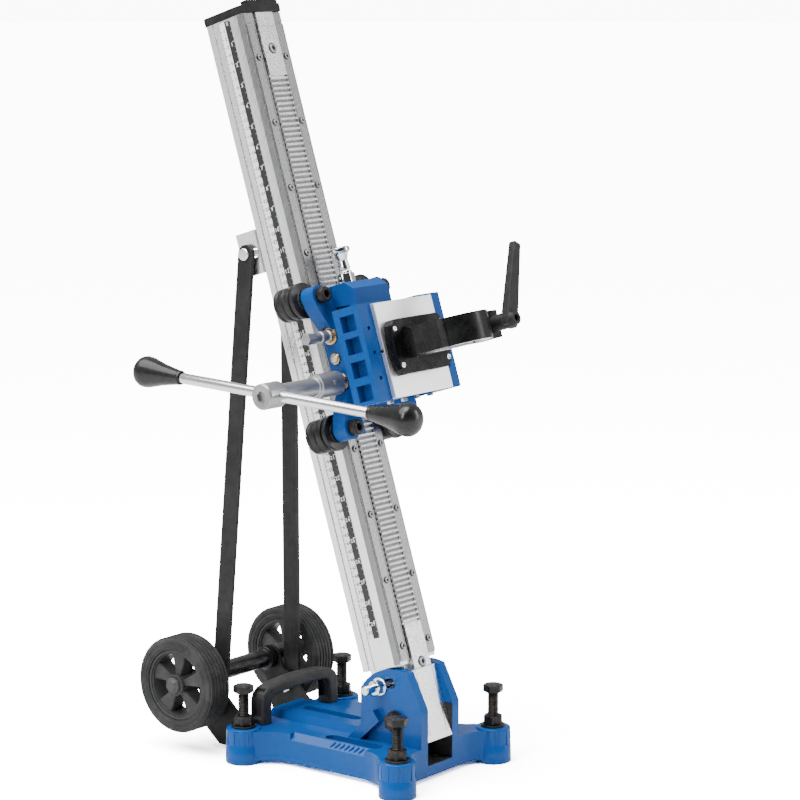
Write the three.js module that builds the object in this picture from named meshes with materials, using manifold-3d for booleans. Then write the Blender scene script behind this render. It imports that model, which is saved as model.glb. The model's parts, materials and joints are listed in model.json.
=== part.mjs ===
// Core drill rig: a cast base with a tilting aluminium column, a hand-cranked carriage that runs
// on four rollers along a rack, a collar for the drill's neck, and rear struts with two wheels.
// Millimetres, +Z up. The rig's front, where the drill hangs, faces -Y and the crank is at -X.
// Finished parts are moved so that the origin is the centre of the bounding box's underside.
import * as THREE from "three";
import { mergeVertices } from "three/addons/utils/BufferGeometryUtils.js";
import Module from "manifold-3d";

const wasm = await Module();
wasm.setup();

// Driving dimensions.
const GAP = 0.3; // between pieces that touch
const RUN = 0.06; // radial running clearance of a turning shaft
const ROUND = 16; // sides of an ordinary cylinder

const SCREW_X = 94.45; // half spacing of the levelling screws
const SCREW_Y = 117.95;
const SCREW_R = 7;
const BOSS = { foot: 21, top: 19.5, height: 43 };
const DECK = { halfWidth: 78, skirt: 5, shoulder: 33, top: 41, ridge: 50 };
const FRONT_Y = -109;
const REAR_Y = 134;

const LUG = [[104, 6], [132, 6], [138, 14], [138, 32], [132, 40], [104, 40]]; // rear lug, (y, z)

const PIVOT = { y: -70.5, z: 70 }; // the column tilts about this line
const EAR = { inner: 24, outer: 37, radius: 62 };
const CLAMP_ARC = { radius: 45, from: 8, to: 49, halfWidth: 5.9 };

const TILT = THREE.MathUtils.degToRad(17.463); // the column leans this far back
const COLUMN_Y = -124.6; // where the column's front plane meets the floor
const COLUMN = { half: 35, rear: 66, bottom: 146, top: 943 };
// The tilt pivot seen in the column's own frame: depth behind the rack's front, and length.
const PIVOT_DEP = (PIVOT.y - COLUMN_Y) * Math.cos(TILT) - PIVOT.z * Math.sin(TILT);
const PIVOT_S = (PIVOT.y - COLUMN_Y) * Math.sin(TILT) + PIVOT.z * Math.cos(TILT);
const FOOT = { half: 23.7, bottom: 49 };

const MODULE = 2;
const PRESSURE = THREE.MathUtils.degToRad(20);
const RACK = { half: 15.7, back: 9, from: 137, to: 925, teethFrom: 190, teethTo: 866 };
const SHAFT_DEP = -18; // the three carriage shafts lie on this plane
const CRANK_S = 487.4;
const IDLER_S = CRANK_S + 28;
const SPINDLE_S = CRANK_S + 56;
const PINION_TEETH = 20;
const GEAR_TEETH = 14;

const ROLLER = { x: 55.8, radius: 20.5, low: 431, high: 591 };
const CHEEK = { inner: 33, outer: 43.5 };
const BLOCK = { half: 78, back: -57, front: -95.2, low: 451, high: 567 };
const PLATE = { half: 55.2, front: -101.5 };

const COLLAR = { dep: -166, s: 510, bore: 30, wall: 41, half: 16.5 };
const LEVER = { x: 57, reach: 100, lean: THREE.MathUtils.degToRad(28) };

const CRANK = { armX: -168, endX: -189, lean: THREE.MathUtils.degToRad(2.6), grip: 140 };
const WHEEL = { x: 101, width: 38, y: 208, z: 85, radius: 59.6, rim: 44 };
const STRUT = { y: 179, z: 52, topY: 155, topZ: 611, topX: 36.5, footX: 67.8, width: 23 };

const BLUE = 0x0b67c2;
const BLACK = 0x1b1c1e;
const ALUMINIUM = 0xd3d6d8;
const STEEL = 0xb3b6ba;

// A three.js geometry as a manifold solid, with its shared vertices merged.
function solid(geometry) {
  const bare = geometry.index ? geometry.toNonIndexed() : geometry.clone();
  const plain = new THREE.BufferGeometry().setAttribute("position", bare.getAttribute("position"));
  const merged = mergeVertices(plain, 1e-4);
  const triangles = [];
  for (let i = 0; i < merged.index.count; i += 3) {
    const [a, b, c] = merged.index.array.slice(i, i + 3);
    if (a !== b && b !== c && c !== a) triangles.push(a, b, c);
  }
  return new wasm.Manifold(
    new wasm.Mesh({
      numProp: 3,
      vertProperties: merged.attributes.position.array,
      triVerts: new Uint32Array(triangles),
    }),
  );
}

// A manifold solid as a three.js geometry.
function geometryOf(shape) {
  const mesh = shape.getMesh();
  const positions = new Float32Array(mesh.numVert * 3);
  for (let i = 0; i < mesh.numVert; i++) {
    for (let k = 0; k < 3; k++) positions[3 * i + k] = mesh.vertProperties[mesh.numProp * i + k];
  }
  const geometry = new THREE.BufferGeometry();
  geometry.setAttribute("position", new THREE.BufferAttribute(positions, 3));
  geometry.setIndex(new THREE.BufferAttribute(new Uint32Array(mesh.triVerts), 1));
  const flat = geometry.toNonIndexed();
  flat.computeVertexNormals();
  return flat;
}

const basis = (x, y, z) =>
  new THREE.Matrix4().makeBasis(
    new THREE.Vector3(...x),
    new THREE.Vector3(...y),
    new THREE.Vector3(...z),
  );
const TURN = {
  x: basis([0, 1, 0], [0, 0, 1], [1, 0, 0]), // outline (y, z), depth along +X
  y: basis([1, 0, 0], [0, 0, 1], [0, -1, 0]), // outline (x, z), depth along -Y
  z: new THREE.Matrix4(), // outline (x, y), depth along +Z
};

function shapeOf(points) {
  return new THREE.Shape(points.map(([a, b]) => new THREE.Vector2(a, b)));
}

// An outline pushed along an axis from one coordinate to another.
function prism(axis, outline, from, to) {
  const [low, high] = from < to ? [from, to] : [to, from];
  const depth = high - low;
  const geometry = new THREE.ExtrudeGeometry(shapeOf(outline), { depth, bevelEnabled: false });
  geometry.applyMatrix4(TURN[axis]);
  const start = axis === "y" ? high : low;
  const move = { x: [start, 0, 0], y: [0, start, 0], z: [0, 0, start] }[axis];
  return solid(geometry.translate(...move));
}

function box(x, y, z) {
  const geometry = new THREE.BoxGeometry(x[1] - x[0], y[1] - y[0], z[1] - z[0]);
  geometry.translate((x[0] + x[1]) / 2, (y[0] + y[1]) / 2, (z[0] + z[1]) / 2);
  return solid(geometry);
}

// A profile of [radius, height] points turned about a line parallel to an axis.
function turned(axis, profile, centre, sides = ROUND) {
  const points = profile.map(([r, h]) => new THREE.Vector2(r, h));
  const geometry = new THREE.LatheGeometry(points, sides);
  geometry.rotateX(Math.PI / 2);
  if (axis === "x") geometry.rotateY(Math.PI / 2);
  if (axis === "y") geometry.rotateX(-Math.PI / 2);
  geometry.translate(...centre);
  const made = solid(geometry);
  if (made.volume() >= 0) return made;
  const reversed = new THREE.LatheGeometry([...points].reverse(), sides);
  reversed.rotateX(Math.PI / 2);
  if (axis === "x") reversed.rotateY(Math.PI / 2);
  if (axis === "y") reversed.rotateX(-Math.PI / 2);
  return solid(reversed.translate(...centre));
}

const at = (axis, [a, b]) => ({ x: [0, a, b], y: [a, 0, b], z: [a, b, 0] })[axis];

// A plain round bar between two coordinates of its axis.
function bar(axis, radius, from, to, centre, sides = ROUND) {
  const profile = [[0, from], [radius, from], [radius, to], [0, to]];
  return turned(axis, profile, at(axis, centre), sides);
}

// A stepped bar: pairs of [radius, coordinate where that radius ends].
function steps(axis, start, sections, centre, sides = ROUND) {
  const profile = [[0, start]];
  let height = start;
  for (const [radius, end] of sections) {
    profile.push([radius, height], [radius, end]);
    height = end;
  }
  profile.push([0, height]);
  return turned(axis, profile, at(axis, centre), sides);
}

// The space around a turning shaft: the flats of its wall lie outside the shaft's circle.
function runningBore(axis, radius, from, to, centre) {
  return bar(axis, (radius + RUN) / Math.cos(Math.PI / ROUND), from, to, centre);
}

const hexagon = (axis, acrossCorners, from, to, centre) =>
  bar(axis, acrossCorners / 2, from, to, centre, 6);

const join = (...parts) => parts.reduce((whole, part) => whole.add(part));
const cut = (whole, ...parts) => parts.reduce((rest, part) => rest.subtract(part), whole);
const mirrored = (part) => part.mirror([1, 0, 0]);

function arcPoints(centre, radius, from, to, count) {
  return Array.from({ length: count + 1 }, (_, i) => {
    const angle = THREE.MathUtils.degToRad(from + ((to - from) * i) / count);
    return [centre[0] + radius * Math.sin(angle), centre[1] + radius * Math.cos(angle)];
  });
}

// A slot with round ends, as an outline.
function slotOutline([ax, ay], [bx, by], half) {
  const heading = Math.atan2(bx - ax, by - ay);
  const degrees = THREE.MathUtils.radToDeg(heading);
  return [
    ...arcPoints([bx, by], half, degrees - 90, degrees + 90, 5),
    ...arcPoints([ax, ay], half, degrees + 90, degrees + 270, 5),
  ];
}

const rig = new THREE.Group();
const column = new THREE.Group();
column.rotation.x = -TILT;
column.position.y = COLUMN_Y;
rig.add(column);

// Adds one finished piece to the rig or to the leaning column's group.
function add(parent, name, shape, color, roughness, metalness) {
  const material = new THREE.MeshStandardMaterial({ color, roughness, metalness });
  const mesh = new THREE.Mesh(geometryOf(shape), material);
  mesh.name = name;
  parent.add(mesh);
}

// ---- Base casting ----
function quarterOutline(edgeY, sideY) {
  const corner = [SCREW_X, SCREW_Y];
  const outline = new THREE.Shape();
  outline.moveTo(DECK.halfWidth, 0);
  outline.lineTo(DECK.halfWidth, sideY);
  outline.quadraticCurveTo(79, 86, 110.5, 104.4);
  const side = outline.getPoints(4).map((p) => [p.x, p.y]);
  const round = arcPoints(corner, BOSS.foot, 130, -35, 7);
  const back = new THREE.QuadraticBezierCurve(
    new THREE.Vector2(82.4, 135.2),
    new THREE.Vector2(70, edgeY),
    new THREE.Vector2(52, edgeY),
  );
  return [...side, ...round, ...back.getPoints(4).map((p) => [p.x, p.y]), [0, edgeY]];
}

function baseCasting() {
  const rear = quarterOutline(REAR_Y, 58);
  const front = quarterOutline(-FRONT_Y, 55).map(([x, y]) => [x, -y]);
  const half = [...rear.slice().reverse(), ...front.slice(1)];
  const right = prism("z", half.reverse(), DECK.skirt, DECK.top);
  let body = join(right, mirrored(right));
  const ridge = [[-33, 40], [33, 40], [27, DECK.ridge], [-27, DECK.ridge]];
  body = join(body, prism("y", ridge, -34, 130));

  for (const side of [-1, 1]) {
    const wedge = [[side * 70, DECK.top], [side * 78, DECK.shoulder], [side * 79, 60]];
    body = cut(body, prism("y", wedge, -58, 58));
  }

  // The skin is hollow underneath, with the pocket's floor and two long ribs left standing.
  body = cut(
    body,
    box([31, 71], [-100, 124], [0, 34]),
    box([-71, -31], [-100, 124], [0, 34]),
    box([-25, 25], [-27, 124], [0, 42]),
  );

  for (const x of [-SCREW_X, SCREW_X]) {
    for (const y of [-SCREW_Y, SCREW_Y]) {
      const profile = [[0, 0], [BOSS.foot, 0], [BOSS.foot, 8], [BOSS.top, BOSS.height]];
      body = join(body, turned("z", [...profile, [0, BOSS.height]], [x, y, 0], 20));
    }
  }

  body = join(body, clevisEars());
  for (const side of [-1, 1]) {
    body = cut(body, box([side * 62.8 - 2.6, side * 62.8 + 2.6], [114, 150], [0, 38.8]));
    body = join(body, prism("x", LUG, side * 49, side * 60.2));
  }
  body = cut(body, box([-EAR.inner, EAR.inner], [-150, -34], [18, 200]));

  for (const x of [-SCREW_X, SCREW_X]) {
    for (const y of [-SCREW_Y, SCREW_Y]) {
      body = cut(body, bar("z", SCREW_R + GAP, -1, 60, [x, y]));
    }
  }
  body = cut(body, prism("z", slotOutline([0, 19], [0, 94], 7.5), -1, 60));
  for (const x of [-58, 58]) {
    body = cut(body, prism("z", slotOutline([x, -57], [x, 9], 8.5), 20, 60));
  }
  return body;
}

// Two ears that hold the column's foot, each with a pivot hole and an arc slot for the clamp bolt.
function clevisEars() {
  const centre = [PIVOT.y, PIVOT.z];
  const outline = [
    [FRONT_Y, 10],
    [-18, 10],
    ...arcPoints(centre, EAR.radius, 57.9, -15.9, 10),
    [FRONT_Y, 87],
  ];
  const { radius, from, to, halfWidth } = CLAMP_ARC;
  const degrees = (angle) => THREE.MathUtils.degToRad(angle);
  const endAt = (angle) => [
    PIVOT.y + radius * Math.sin(degrees(angle)),
    PIVOT.z + radius * Math.cos(degrees(angle)),
  ];
  const slot = [
    ...arcPoints(centre, radius + halfWidth, from, to, 7),
    ...arcPoints(endAt(to), halfWidth, to + 22, to + 158, 4),
    ...arcPoints(centre, radius - halfWidth, to, from, 7),
    ...arcPoints(endAt(from), halfWidth, from + 202, from + 338, 4),
  ];
  const rib = [[-52, 68], [-43, 80], [-4, 40], [-22, 40]];
  const ear = cut(
    join(
      prism("x", outline, EAR.inner, EAR.outer),
      prism("x", rib, EAR.outer - 1, EAR.outer + 9),
    ),
    prism("x", slot, 0, 60),
    bar("x", SCREW_R + GAP, 0, 60, centre),
  );
  return join(ear, mirrored(ear));
}

add(rig, "base_casting", baseCasting(), BLUE, 0.35, 0.1);

const CORNERS = [
  ["front_left", -SCREW_X, -SCREW_Y],
  ["front_right", SCREW_X, -SCREW_Y],
  ["rear_left", -SCREW_X, SCREW_Y],
  ["rear_right", SCREW_X, SCREW_Y],
];
for (const [corner, x, y] of CORNERS) {
  const screw = join(
    steps("z", 2, [[5.5, 6], [SCREW_R, 87]], [x, y]),
    hexagon("z", 25.4, 86, 95, [x, y]),
  );
  add(rig, `levelling_screw_${corner}`, screw, BLACK, 0.45, 0.6);
  const nut = cut(
    join(
      bar("z", 15, BOSS.height + GAP, 46, [x, y]),
      hexagon("z", 24.6, 45.5, 57, [x, y]),
    ),
    bar("z", SCREW_R + GAP, 40, 60, [x, y]),
  );
  add(rig, `lock_nut_${corner}`, nut, BLACK, 0.5, 0.6);
}

function carryHandle() {
  const outer = new THREE.Shape();
  outer.moveTo(-73.5, DECK.top + GAP);
  outer.lineTo(-73.5, 66);
  outer.bezierCurveTo(-73.5, 80, -63, 86, -48, 88);
  outer.bezierCurveTo(-20, 92, 20, 92, 48, 88);
  outer.bezierCurveTo(63, 86, 73.5, 80, 73.5, 66);
  outer.lineTo(73.5, DECK.top + GAP);
  outer.lineTo(54.5, DECK.top + GAP);
  outer.lineTo(54.5, 63);
  outer.bezierCurveTo(53.5, 70, 50, 73, 44, 74);
  outer.bezierCurveTo(20, 77, -20, 77, -44, 74);
  outer.bezierCurveTo(-50, 73, -53.5, 70, -54.5, 63);
  outer.lineTo(-54.5, DECK.top + GAP);
  const points = outer.getPoints(4).map((p) => [p.x, p.y]);
  return prism("y", points, 105, 127);
}
add(rig, "carry_handle", carryHandle(), 0x2b2c2e, 0.6, 0);

const pivotAt = [PIVOT.y, PIVOT.z];
const pivotBolt = join(
  bar("x", SCREW_R, -44, 43, pivotAt),
  hexagon("x", 24, -47, -EAR.outer - GAP, pivotAt),
  hexagon("x", 24, EAR.outer + GAP, 47, pivotAt),
);
add(rig, "tilt_pivot_bolt", pivotBolt, BLACK, 0.45, 0.6);

// ---- Axle brackets, axle and wheels ----
const axleAt = [WHEEL.y, WHEEL.z];
const strutFoot = [STRUT.y, STRUT.z];
function axleBracket() {
  const outline = [
    [118, 12], [134, 6], [162, 2], [185, 3], [205, 20], [212, 50],
    ...arcPoints(axleAt, 15, 110, -80, 8),
    [186, 72], [174, 66], [162, 56], [146, 40], [118, 36],
  ];
  return cut(
    prism("x", outline, 60.5, 64.7),
    bar("x", 6 + GAP, 50, 80, axleAt),
    bar("x", 5 + GAP, 50, 80, strutFoot),
  );
}
add(rig, "axle_bracket_left", mirrored(axleBracket()), BLACK, 0.5, 0.3);
add(rig, "axle_bracket_right", axleBracket(), BLACK, 0.5, 0.3);

for (const [name, side] of [["left", -1], ["right", 1]]) {
  const bolt = join(
    bar("x", 5, 57, 77, strutFoot),
    hexagon("x", 17, 54, 60.2, strutFoot),
    bar("x", 7.5, 65, 67, strutFoot),
    hexagon("x", 17, 74.8, 80.5, strutFoot),
  );
  add(rig, `strut_foot_bolt_${name}`, side < 0 ? mirrored(bolt) : bolt, STEEL, 0.35, 0.9);
}

const axleSteps = [[6, -60.2], [15, -48], [11.5, 48], [15, 60.2], [6, 124.5]];
add(rig, "wheel_axle", steps("x", -124.5, axleSteps, axleAt), BLACK, 0.4, 0.5);

function tyre(x) {
  const half = WHEEL.width / 2;
  const profile = [
    [WHEEL.rim, -half + 3],
    [WHEEL.rim + 3, -half],
    [WHEEL.radius - 4, -half],
    [WHEEL.radius, -half + 4],
    [WHEEL.radius, half - 4],
    [WHEEL.radius - 4, half],
    [WHEEL.rim + 3, half],
    [WHEEL.rim, half - 3],
    [WHEEL.rim, -half + 3],
  ];
  return turned("x", profile, [x, ...axleAt], 26);
}

// A five-spoke wheel: a rim band, a hub tube and a web with five fan-shaped openings.
function wheelRim(x) {
  const band = [[40, -16], [WHEEL.rim - GAP, -16], [WHEEL.rim - GAP, 16], [40, 16], [40, -16]];
  const web = bar("x", 41, -4, 4, [0, 0], 26);
  const opening = [
    ...arcPoints([0, 0], 39.2, -19, 19, 3),
    ...arcPoints([0, 0], 14, 12, -12, 1),
  ];
  const holes = Array.from({ length: 5 }, (_, i) =>
    prism("x", opening, -9, 9).rotate([i * 72, 0, 0]),
  );
  const hub = bar("x", 12, -18.6, 18.6, [0, 0]);
  const whole = cut(join(turned("x", band, [0, 0, 0], 26), web), ...holes);
  const bored = cut(join(whole, hub), runningBore("x", 6, -30, 30, [0, 0]));
  return bored.translate([x, ...axleAt]);
}

for (const [name, side] of [["left", -1], ["right", 1]]) {
  add(rig, `tyre_${name}`, tyre(side * WHEEL.x), 0x262729, 0.85, 0);
  add(rig, `wheel_rim_${name}`, wheelRim(side * WHEEL.x), 0x1a1b1c, 0.6, 0);
  const cap = cut(
    turned("x", [[0, 120.4], [10, 120.4], [10, 124], [8, 126.5], [0, 127]], [0, ...axleAt]),
    bar("x", 6 + GAP, 100, 125, axleAt),
  );
  add(rig, `hub_cap_${name}`, side < 0 ? mirrored(cap) : cap, 0x55585b, 0.5, 0);
}

// ---- Struts ----
// A flat bar that leans outwards as it goes down, drawn upright and then sheared along X.
function strut() {
  const rise = STRUT.topZ - STRUT.z;
  const run = STRUT.topY - STRUT.y;
  const half = STRUT.width / 2;
  const heading = THREE.MathUtils.radToDeg(Math.atan2(run, rise));
  const outline = [
    ...arcPoints([run, rise], half, heading - 90, heading + 90, 6),
    ...arcPoints([0, 0], half, heading + 90, heading + 270, 6),
  ];
  const slope = (STRUT.topX - STRUT.footX) / rise;
  const shear = new THREE.Matrix4().set(1, 0, slope, 0, 0, 1, 0, 0, 0, 0, 1, 0, 0, 0, 0, 1);
  const blade = geometryOf(prism("x", outline, 0, 5)).applyMatrix4(shear);
  const placed = solid(blade).translate([STRUT.footX, STRUT.y, STRUT.z]);
  return cut(
    placed,
    runningBore("x", 5, 50, 90, strutFoot),
    bar("x", 4 + GAP, 20, 60, [STRUT.topY, STRUT.topZ]),
  );
}
add(rig, "strut_left", mirrored(strut()), BLACK, 0.45, 0.3);
add(rig, "strut_right", strut(), BLACK, 0.45, 0.3);
const pinSteps = [[7.5, -42.4], [4, 42.4], [7.5, 46]];
const topPin = steps("x", -46, pinSteps, [STRUT.topY, STRUT.topZ]);
add(rig, "strut_top_pin", topPin, STEEL, 0.3, 0.9);

// ---- Column; from here x is across, y is depth behind the rack's front, z is along ----
const symmetric = (points) => [
  ...points,
  ...points.slice().reverse().map(([x, y]) => [-x, y]),
];

function columnExtrusion() {
  const { half, rear, bottom, top } = COLUMN;
  const outer = symmetric([
    [0, 9.3], [16.1, 9.3], [16.1, 5.1], [33.4, 5.1], [33.4, 7.2], [half, 13.4], [half, 25],
    [34.2, 25.2], [34.2, 45], [half, 45.2], [half, 51], [33.8, 51.8], [33.8, 53.4], [half, 54.2],
    [half, rear - 3], [half - 3, rear], [7, rear], [7, rear - 3.6], [0, rear - 3.6],
  ]).filter(([x], i, all) => !(x === 0 && i >= all.length / 2));
  const inner = symmetric([[30.5, 13.5], [30.5, 52], [21, 59], [10, 59]]);
  return cut(
    prism("z", outer, bottom, top),
    prism("z", inner, bottom - 5, top + 5),
  );
}
add(column, "column_extrusion", columnExtrusion(), ALUMINIUM, 0.3, 0.85);

// The block between the ears, with a plug that reaches up inside the column.
function columnFoot() {
  const block = [[9.3, FOOT.bottom], [56, FOOT.bottom], [62, 56], [62, 145.7], [9.3, 145.7]];
  const clampAt = clampPoint();
  return cut(
    join(
      prism("x", block, -FOOT.half, FOOT.half),
      box([-FOOT.half, FOOT.half], [0.5, 10], [FOOT.bottom, 136.5]),
      box([-20, 20], [14, 51], [140, 200]),
    ),
    runningBore("x", SCREW_R, -60, 60, [PIVOT_DEP, PIVOT_S]),
    bar("x", 5.5 + GAP, -60, 60, clampAt),
  );
}

// The clamp bolt's place, given as an angle behind the vertical through the pivot.
function clampPoint() {
  const angle = THREE.MathUtils.degToRad(30.3) - TILT;
  const { radius } = CLAMP_ARC;
  return [PIVOT_DEP + radius * Math.sin(angle), PIVOT_S + radius * Math.cos(angle)];
}
add(column, "column_foot", columnFoot(), 0xc4c7c9, 0.35, 0.8);

const clampBolt = join(
  bar("x", 5.5, -68, 46, clampPoint()),
  hexagon("x", 19.6, -50, -39, clampPoint()),
  bar("x", 10.8, -40, -EAR.outer - GAP, clampPoint()),
  bar("x", 10.8, EAR.outer + GAP, 40, clampPoint()),
  hexagon("x", 19.6, 39, 48, clampPoint()),
);
add(column, "tilt_clamp_bolt", clampBolt, 0xcfd2d4, 0.25, 0.95);

// The rack's outline in (depth, length): tips on depth 0, a gap facing the crank's pinion.
function rackBar() {
  const pitch = Math.PI * MODULE;
  const tipHalf = pitch / 4 - MODULE * Math.tan(PRESSURE);
  const rootHalf = pitch / 4 + 1.25 * MODULE * Math.tan(PRESSURE);
  const teeth = [];
  const first = Math.ceil((RACK.teethFrom - CRANK_S) / pitch - 0.5) + 0.5;
  for (let k = first; CRANK_S + k * pitch < RACK.teethTo; k++) {
    const s = CRANK_S + k * pitch;
    teeth.push([4.5, s - rootHalf], [0, s - tipHalf], [0, s + tipHalf], [4.5, s + rootHalf]);
  }
  const ends = [
    [0, RACK.from],
    [0, teeth[0][1] - 1.5],
    ...teeth,
    [0, teeth[teeth.length - 1][1] + 1.5],
    [0, RACK.to],
    [RACK.back, RACK.to],
    [RACK.back, RACK.from],
  ];
  return prism("x", ends, -RACK.half, RACK.half);
}
add(column, "rack_bar", rackBar(), 0xc9ccce, 0.3, 0.9);

for (const [name, side] of [["left", -1], ["right", 1]]) {
  const [near, far] = [side * 16.4, side * 33].sort((a, b) => a - b);
  const strip = box([near, far], [3.1, 4.8], [150, 930]);
  add(column, `guide_strip_${name}`, strip, 0x9b9fa3, 0.3, 0.95);
}

function columnCap() {
  const lid = [
    [-36, 12], [-34, 4], [-31, -1], [31, -1], [34, 4], [36, 12], [36, 64], [33, 67],
    [-33, 67], [-36, 64],
  ];
  return join(
    prism("z", lid, COLUMN.top + GAP, COLUMN.top + 10),
    box([-28, 28], [-1, 9], [COLUMN.top + 9, COLUMN.top + 15]),
    cut(
      box([-30, 30], [14, 51], [COLUMN.top - 14, COLUMN.top + 2]),
      box([-26, 26], [18, 47], [COLUMN.top - 20, COLUMN.top]),
    ),
  );
}
add(column, "column_cap", columnCap(), BLACK, 0.6, 0);
const scale = box([-COLUMN.half, -COLUMN.half + 0.5], [25.6, 44.7], [183, 941]);
add(column, "scale_strip", scale, 0xdddddb, 0.5, 0);

// The saddle that the struts push against; its slots let the top pin follow the tilt.
function strutSaddle() {
  const s = 666.8;
  const slot = slotOutline([72.6, s - 1.2], [85.2, s - 1.2], 5.6);
  return cut(
    join(
      box([-35, 35], [COLUMN.rear + GAP, 97], [s - 27, s + 26]),
      box([-6.5, 6.5], [COLUMN.rear - 3.2, COLUMN.rear + 1], [s - 27, s + 26]),
    ),
    box([-29, 29], [71.5, 110], [s - 40, s + 40]),
    prism("x", slot, -60, 60),
  );
}
add(column, "strut_saddle", strutSaddle(), 0xc9cccd, 0.35, 0.8);

// ---- Carriage ----
function pocket(s, side) {
  const [near, far] = [side * 66, side * 90].sort((a, b) => a - b);
  return box([near, far], [-88, -66], [s - 9.5, s + 9.5]);
}

// The carriage's three shafts, with the bronze bushings that carry them in the left side.
const SHAFTS = [
  { name: "crank", s: CRANK_S, shaft: 8, outer: 10.7 },
  { name: "idler", s: IDLER_S, shaft: 5, outer: 6.8 },
  { name: "spindle", s: SPINDLE_S, shaft: 8, outer: 10.7 },
];

// One cast side of the carriage: a cheek with shaft bores, a ribbed block and two roller arms.
function carriageSide(side) {
  const { inner, outer } = CHEEK;
  const cheek = [
    [BLOCK.front, BLOCK.low], [-30, 449], [-6, 455], [-6, 560], [-20, 570], [-60, BLOCK.high],
    [BLOCK.front, BLOCK.high],
  ];
  const armOutline = (s, rise) => [
    [inner, s + rise * 48], [outer + 3, s + rise * 46], [64, s + rise * 16],
    ...arcPoints([ROLLER.x, s], 13, rise > 0 ? 62 : 118, rise > 0 ? 258 : -78, 9),
    [inner, s - rise * 9],
  ];
  const arm = (s, rise) => prism("y", armOutline(s, rise), -27, -8);
  let body = join(
    prism("x", cheek, inner, outer),
    box([outer - 1, BLOCK.half], [BLOCK.front, BLOCK.back], [BLOCK.low, BLOCK.high]),
    arm(ROLLER.high, -1),
    arm(ROLLER.low, 1),
  );
  if (side < 0) body = mirrored(body);
  for (const s of [548, 521.6, 493.7, 465.4]) body = cut(body, pocket(s, side));
  for (const s of [537.6, 508.5, 478.4]) {
    body = cut(body, bar("y", 2.6, -100, -84, [side * 65.6, s], 10));
  }
  for (const s of [ROLLER.low, ROLLER.high]) {
    body = cut(body, bar("y", 6 + GAP, -60, 20, [side * ROLLER.x, s]));
  }
  for (const { s, outer: bushing, shaft } of SHAFTS) {
    const centre = [SHAFT_DEP, s];
    const seat = bar("x", bushing + GAP, -60, -20, centre);
    body = cut(body, side < 0 ? seat : runningBore("x", shaft, 20, 60, centre));
  }
  return body;
}
add(column, "carriage_side_left", carriageSide(-1), BLUE, 0.35, 0.1);
add(column, "carriage_side_right", carriageSide(1), BLUE, 0.35, 0.1);

// The gear housing ties the two sides together and closes the gears in behind the plate.
function gearHousing() {
  const outline = [
    [-60, 440], [-5, 440], [-5, 454], [-48, 458], [-48, 572], [-5, 576], [-5, 600], [-48, 600],
    [-60, 590],
  ];
  return cut(
    prism("x", outline, -CHEEK.inner + GAP, CHEEK.inner - GAP),
    runningBore("z", 4, 560, 610, [0, -27]),
  );
}
add(column, "gear_housing", gearHousing(), 0x0a58a8, 0.4, 0.1);
const facePlate = box([-PLATE.half, PLATE.half], [PLATE.front, -95.5], [451.5, 564.6]);
add(column, "carriage_face_plate", facePlate, 0xe6e8e9, 0.4, 0.5);

for (const { name, s, shaft, outer } of SHAFTS) {
  const ring = cut(
    bar("x", outer, -45.3, -CHEEK.inner, [SHAFT_DEP, s]),
    runningBore("x", shaft, -60, -20, [SHAFT_DEP, s]),
  );
  add(column, `bushing_${name}`, ring, 0xb08a3e, 0.35, 0.9);
}

// An involute spur gear in the plane across X, a tooth or a gap facing up the column.
function gearOutline(teeth, gapUp) {
  const pitchR = (MODULE * teeth) / 2;
  const baseR = pitchR * Math.cos(PRESSURE);
  const rootR = pitchR - 1.25 * MODULE;
  const tipR = pitchR + MODULE;
  const involute = (r) => {
    const angle = Math.acos(Math.min(1, baseR / r));
    return Math.tan(angle) - angle;
  };
  const thin = 0.15 / pitchR;
  const halfAt = (r) => Math.PI / (2 * teeth) - thin + involute(pitchR) - involute(r);
  const radii = [rootR, pitchR, tipR];
  const flank = radii.map((r) => [r, halfAt(Math.max(r, baseR))]);
  const points = [];
  for (let i = 0; i < teeth; i++) {
    const middle = (2 * Math.PI * (i + (gapUp ? 0.5 : 0))) / teeth;
    const left = flank.map(([r, half]) => [r, middle - half]);
    const right = flank.slice().reverse().map(([r, half]) => [r, middle + half]);
    for (const [r, a] of [...left, ...right]) points.push([r * Math.sin(a), r * Math.cos(a)]);
  }
  return points;
}

function gear(teeth, gapUp, from, to, s) {
  return prism("x", gearOutline(teeth, gapUp), from, to).translate([0, SHAFT_DEP, s]);
}

// The rack pinion needs a tooth facing the rack, a quarter turn from the column's direction.
const pinionShaft = join(
  steps("x", -84, [[8, 46]], [SHAFT_DEP, CRANK_S]),
  gear(PINION_TEETH, false, -13, 13, CRANK_S),
  gear(GEAR_TEETH, false, 12.5, 22, CRANK_S),
);
add(column, "pinion_shaft", pinionShaft, STEEL, 0.35, 0.9);
const idler = join(
  steps("x", -45.5, [[5, 46]], [SHAFT_DEP, IDLER_S]),
  gear(GEAR_TEETH, true, 14.3, 21.7, IDLER_S),
);
add(column, "idler_gear", idler, STEEL, 0.35, 0.9);
const spindle = join(
  steps("x", -76, [[5.5, -64], [7.4, -58], [5.8, -51], [8, 46]], [SHAFT_DEP, SPINDLE_S]),
  gear(GEAR_TEETH, false, 14.3, 21.7, SPINDLE_S),
  hexagon("x", 14.4, -90, -74, [SHAFT_DEP, SPINDLE_S]),
);
add(column, "reserve_spindle", spindle, STEEL, 0.3, 0.9);

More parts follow.
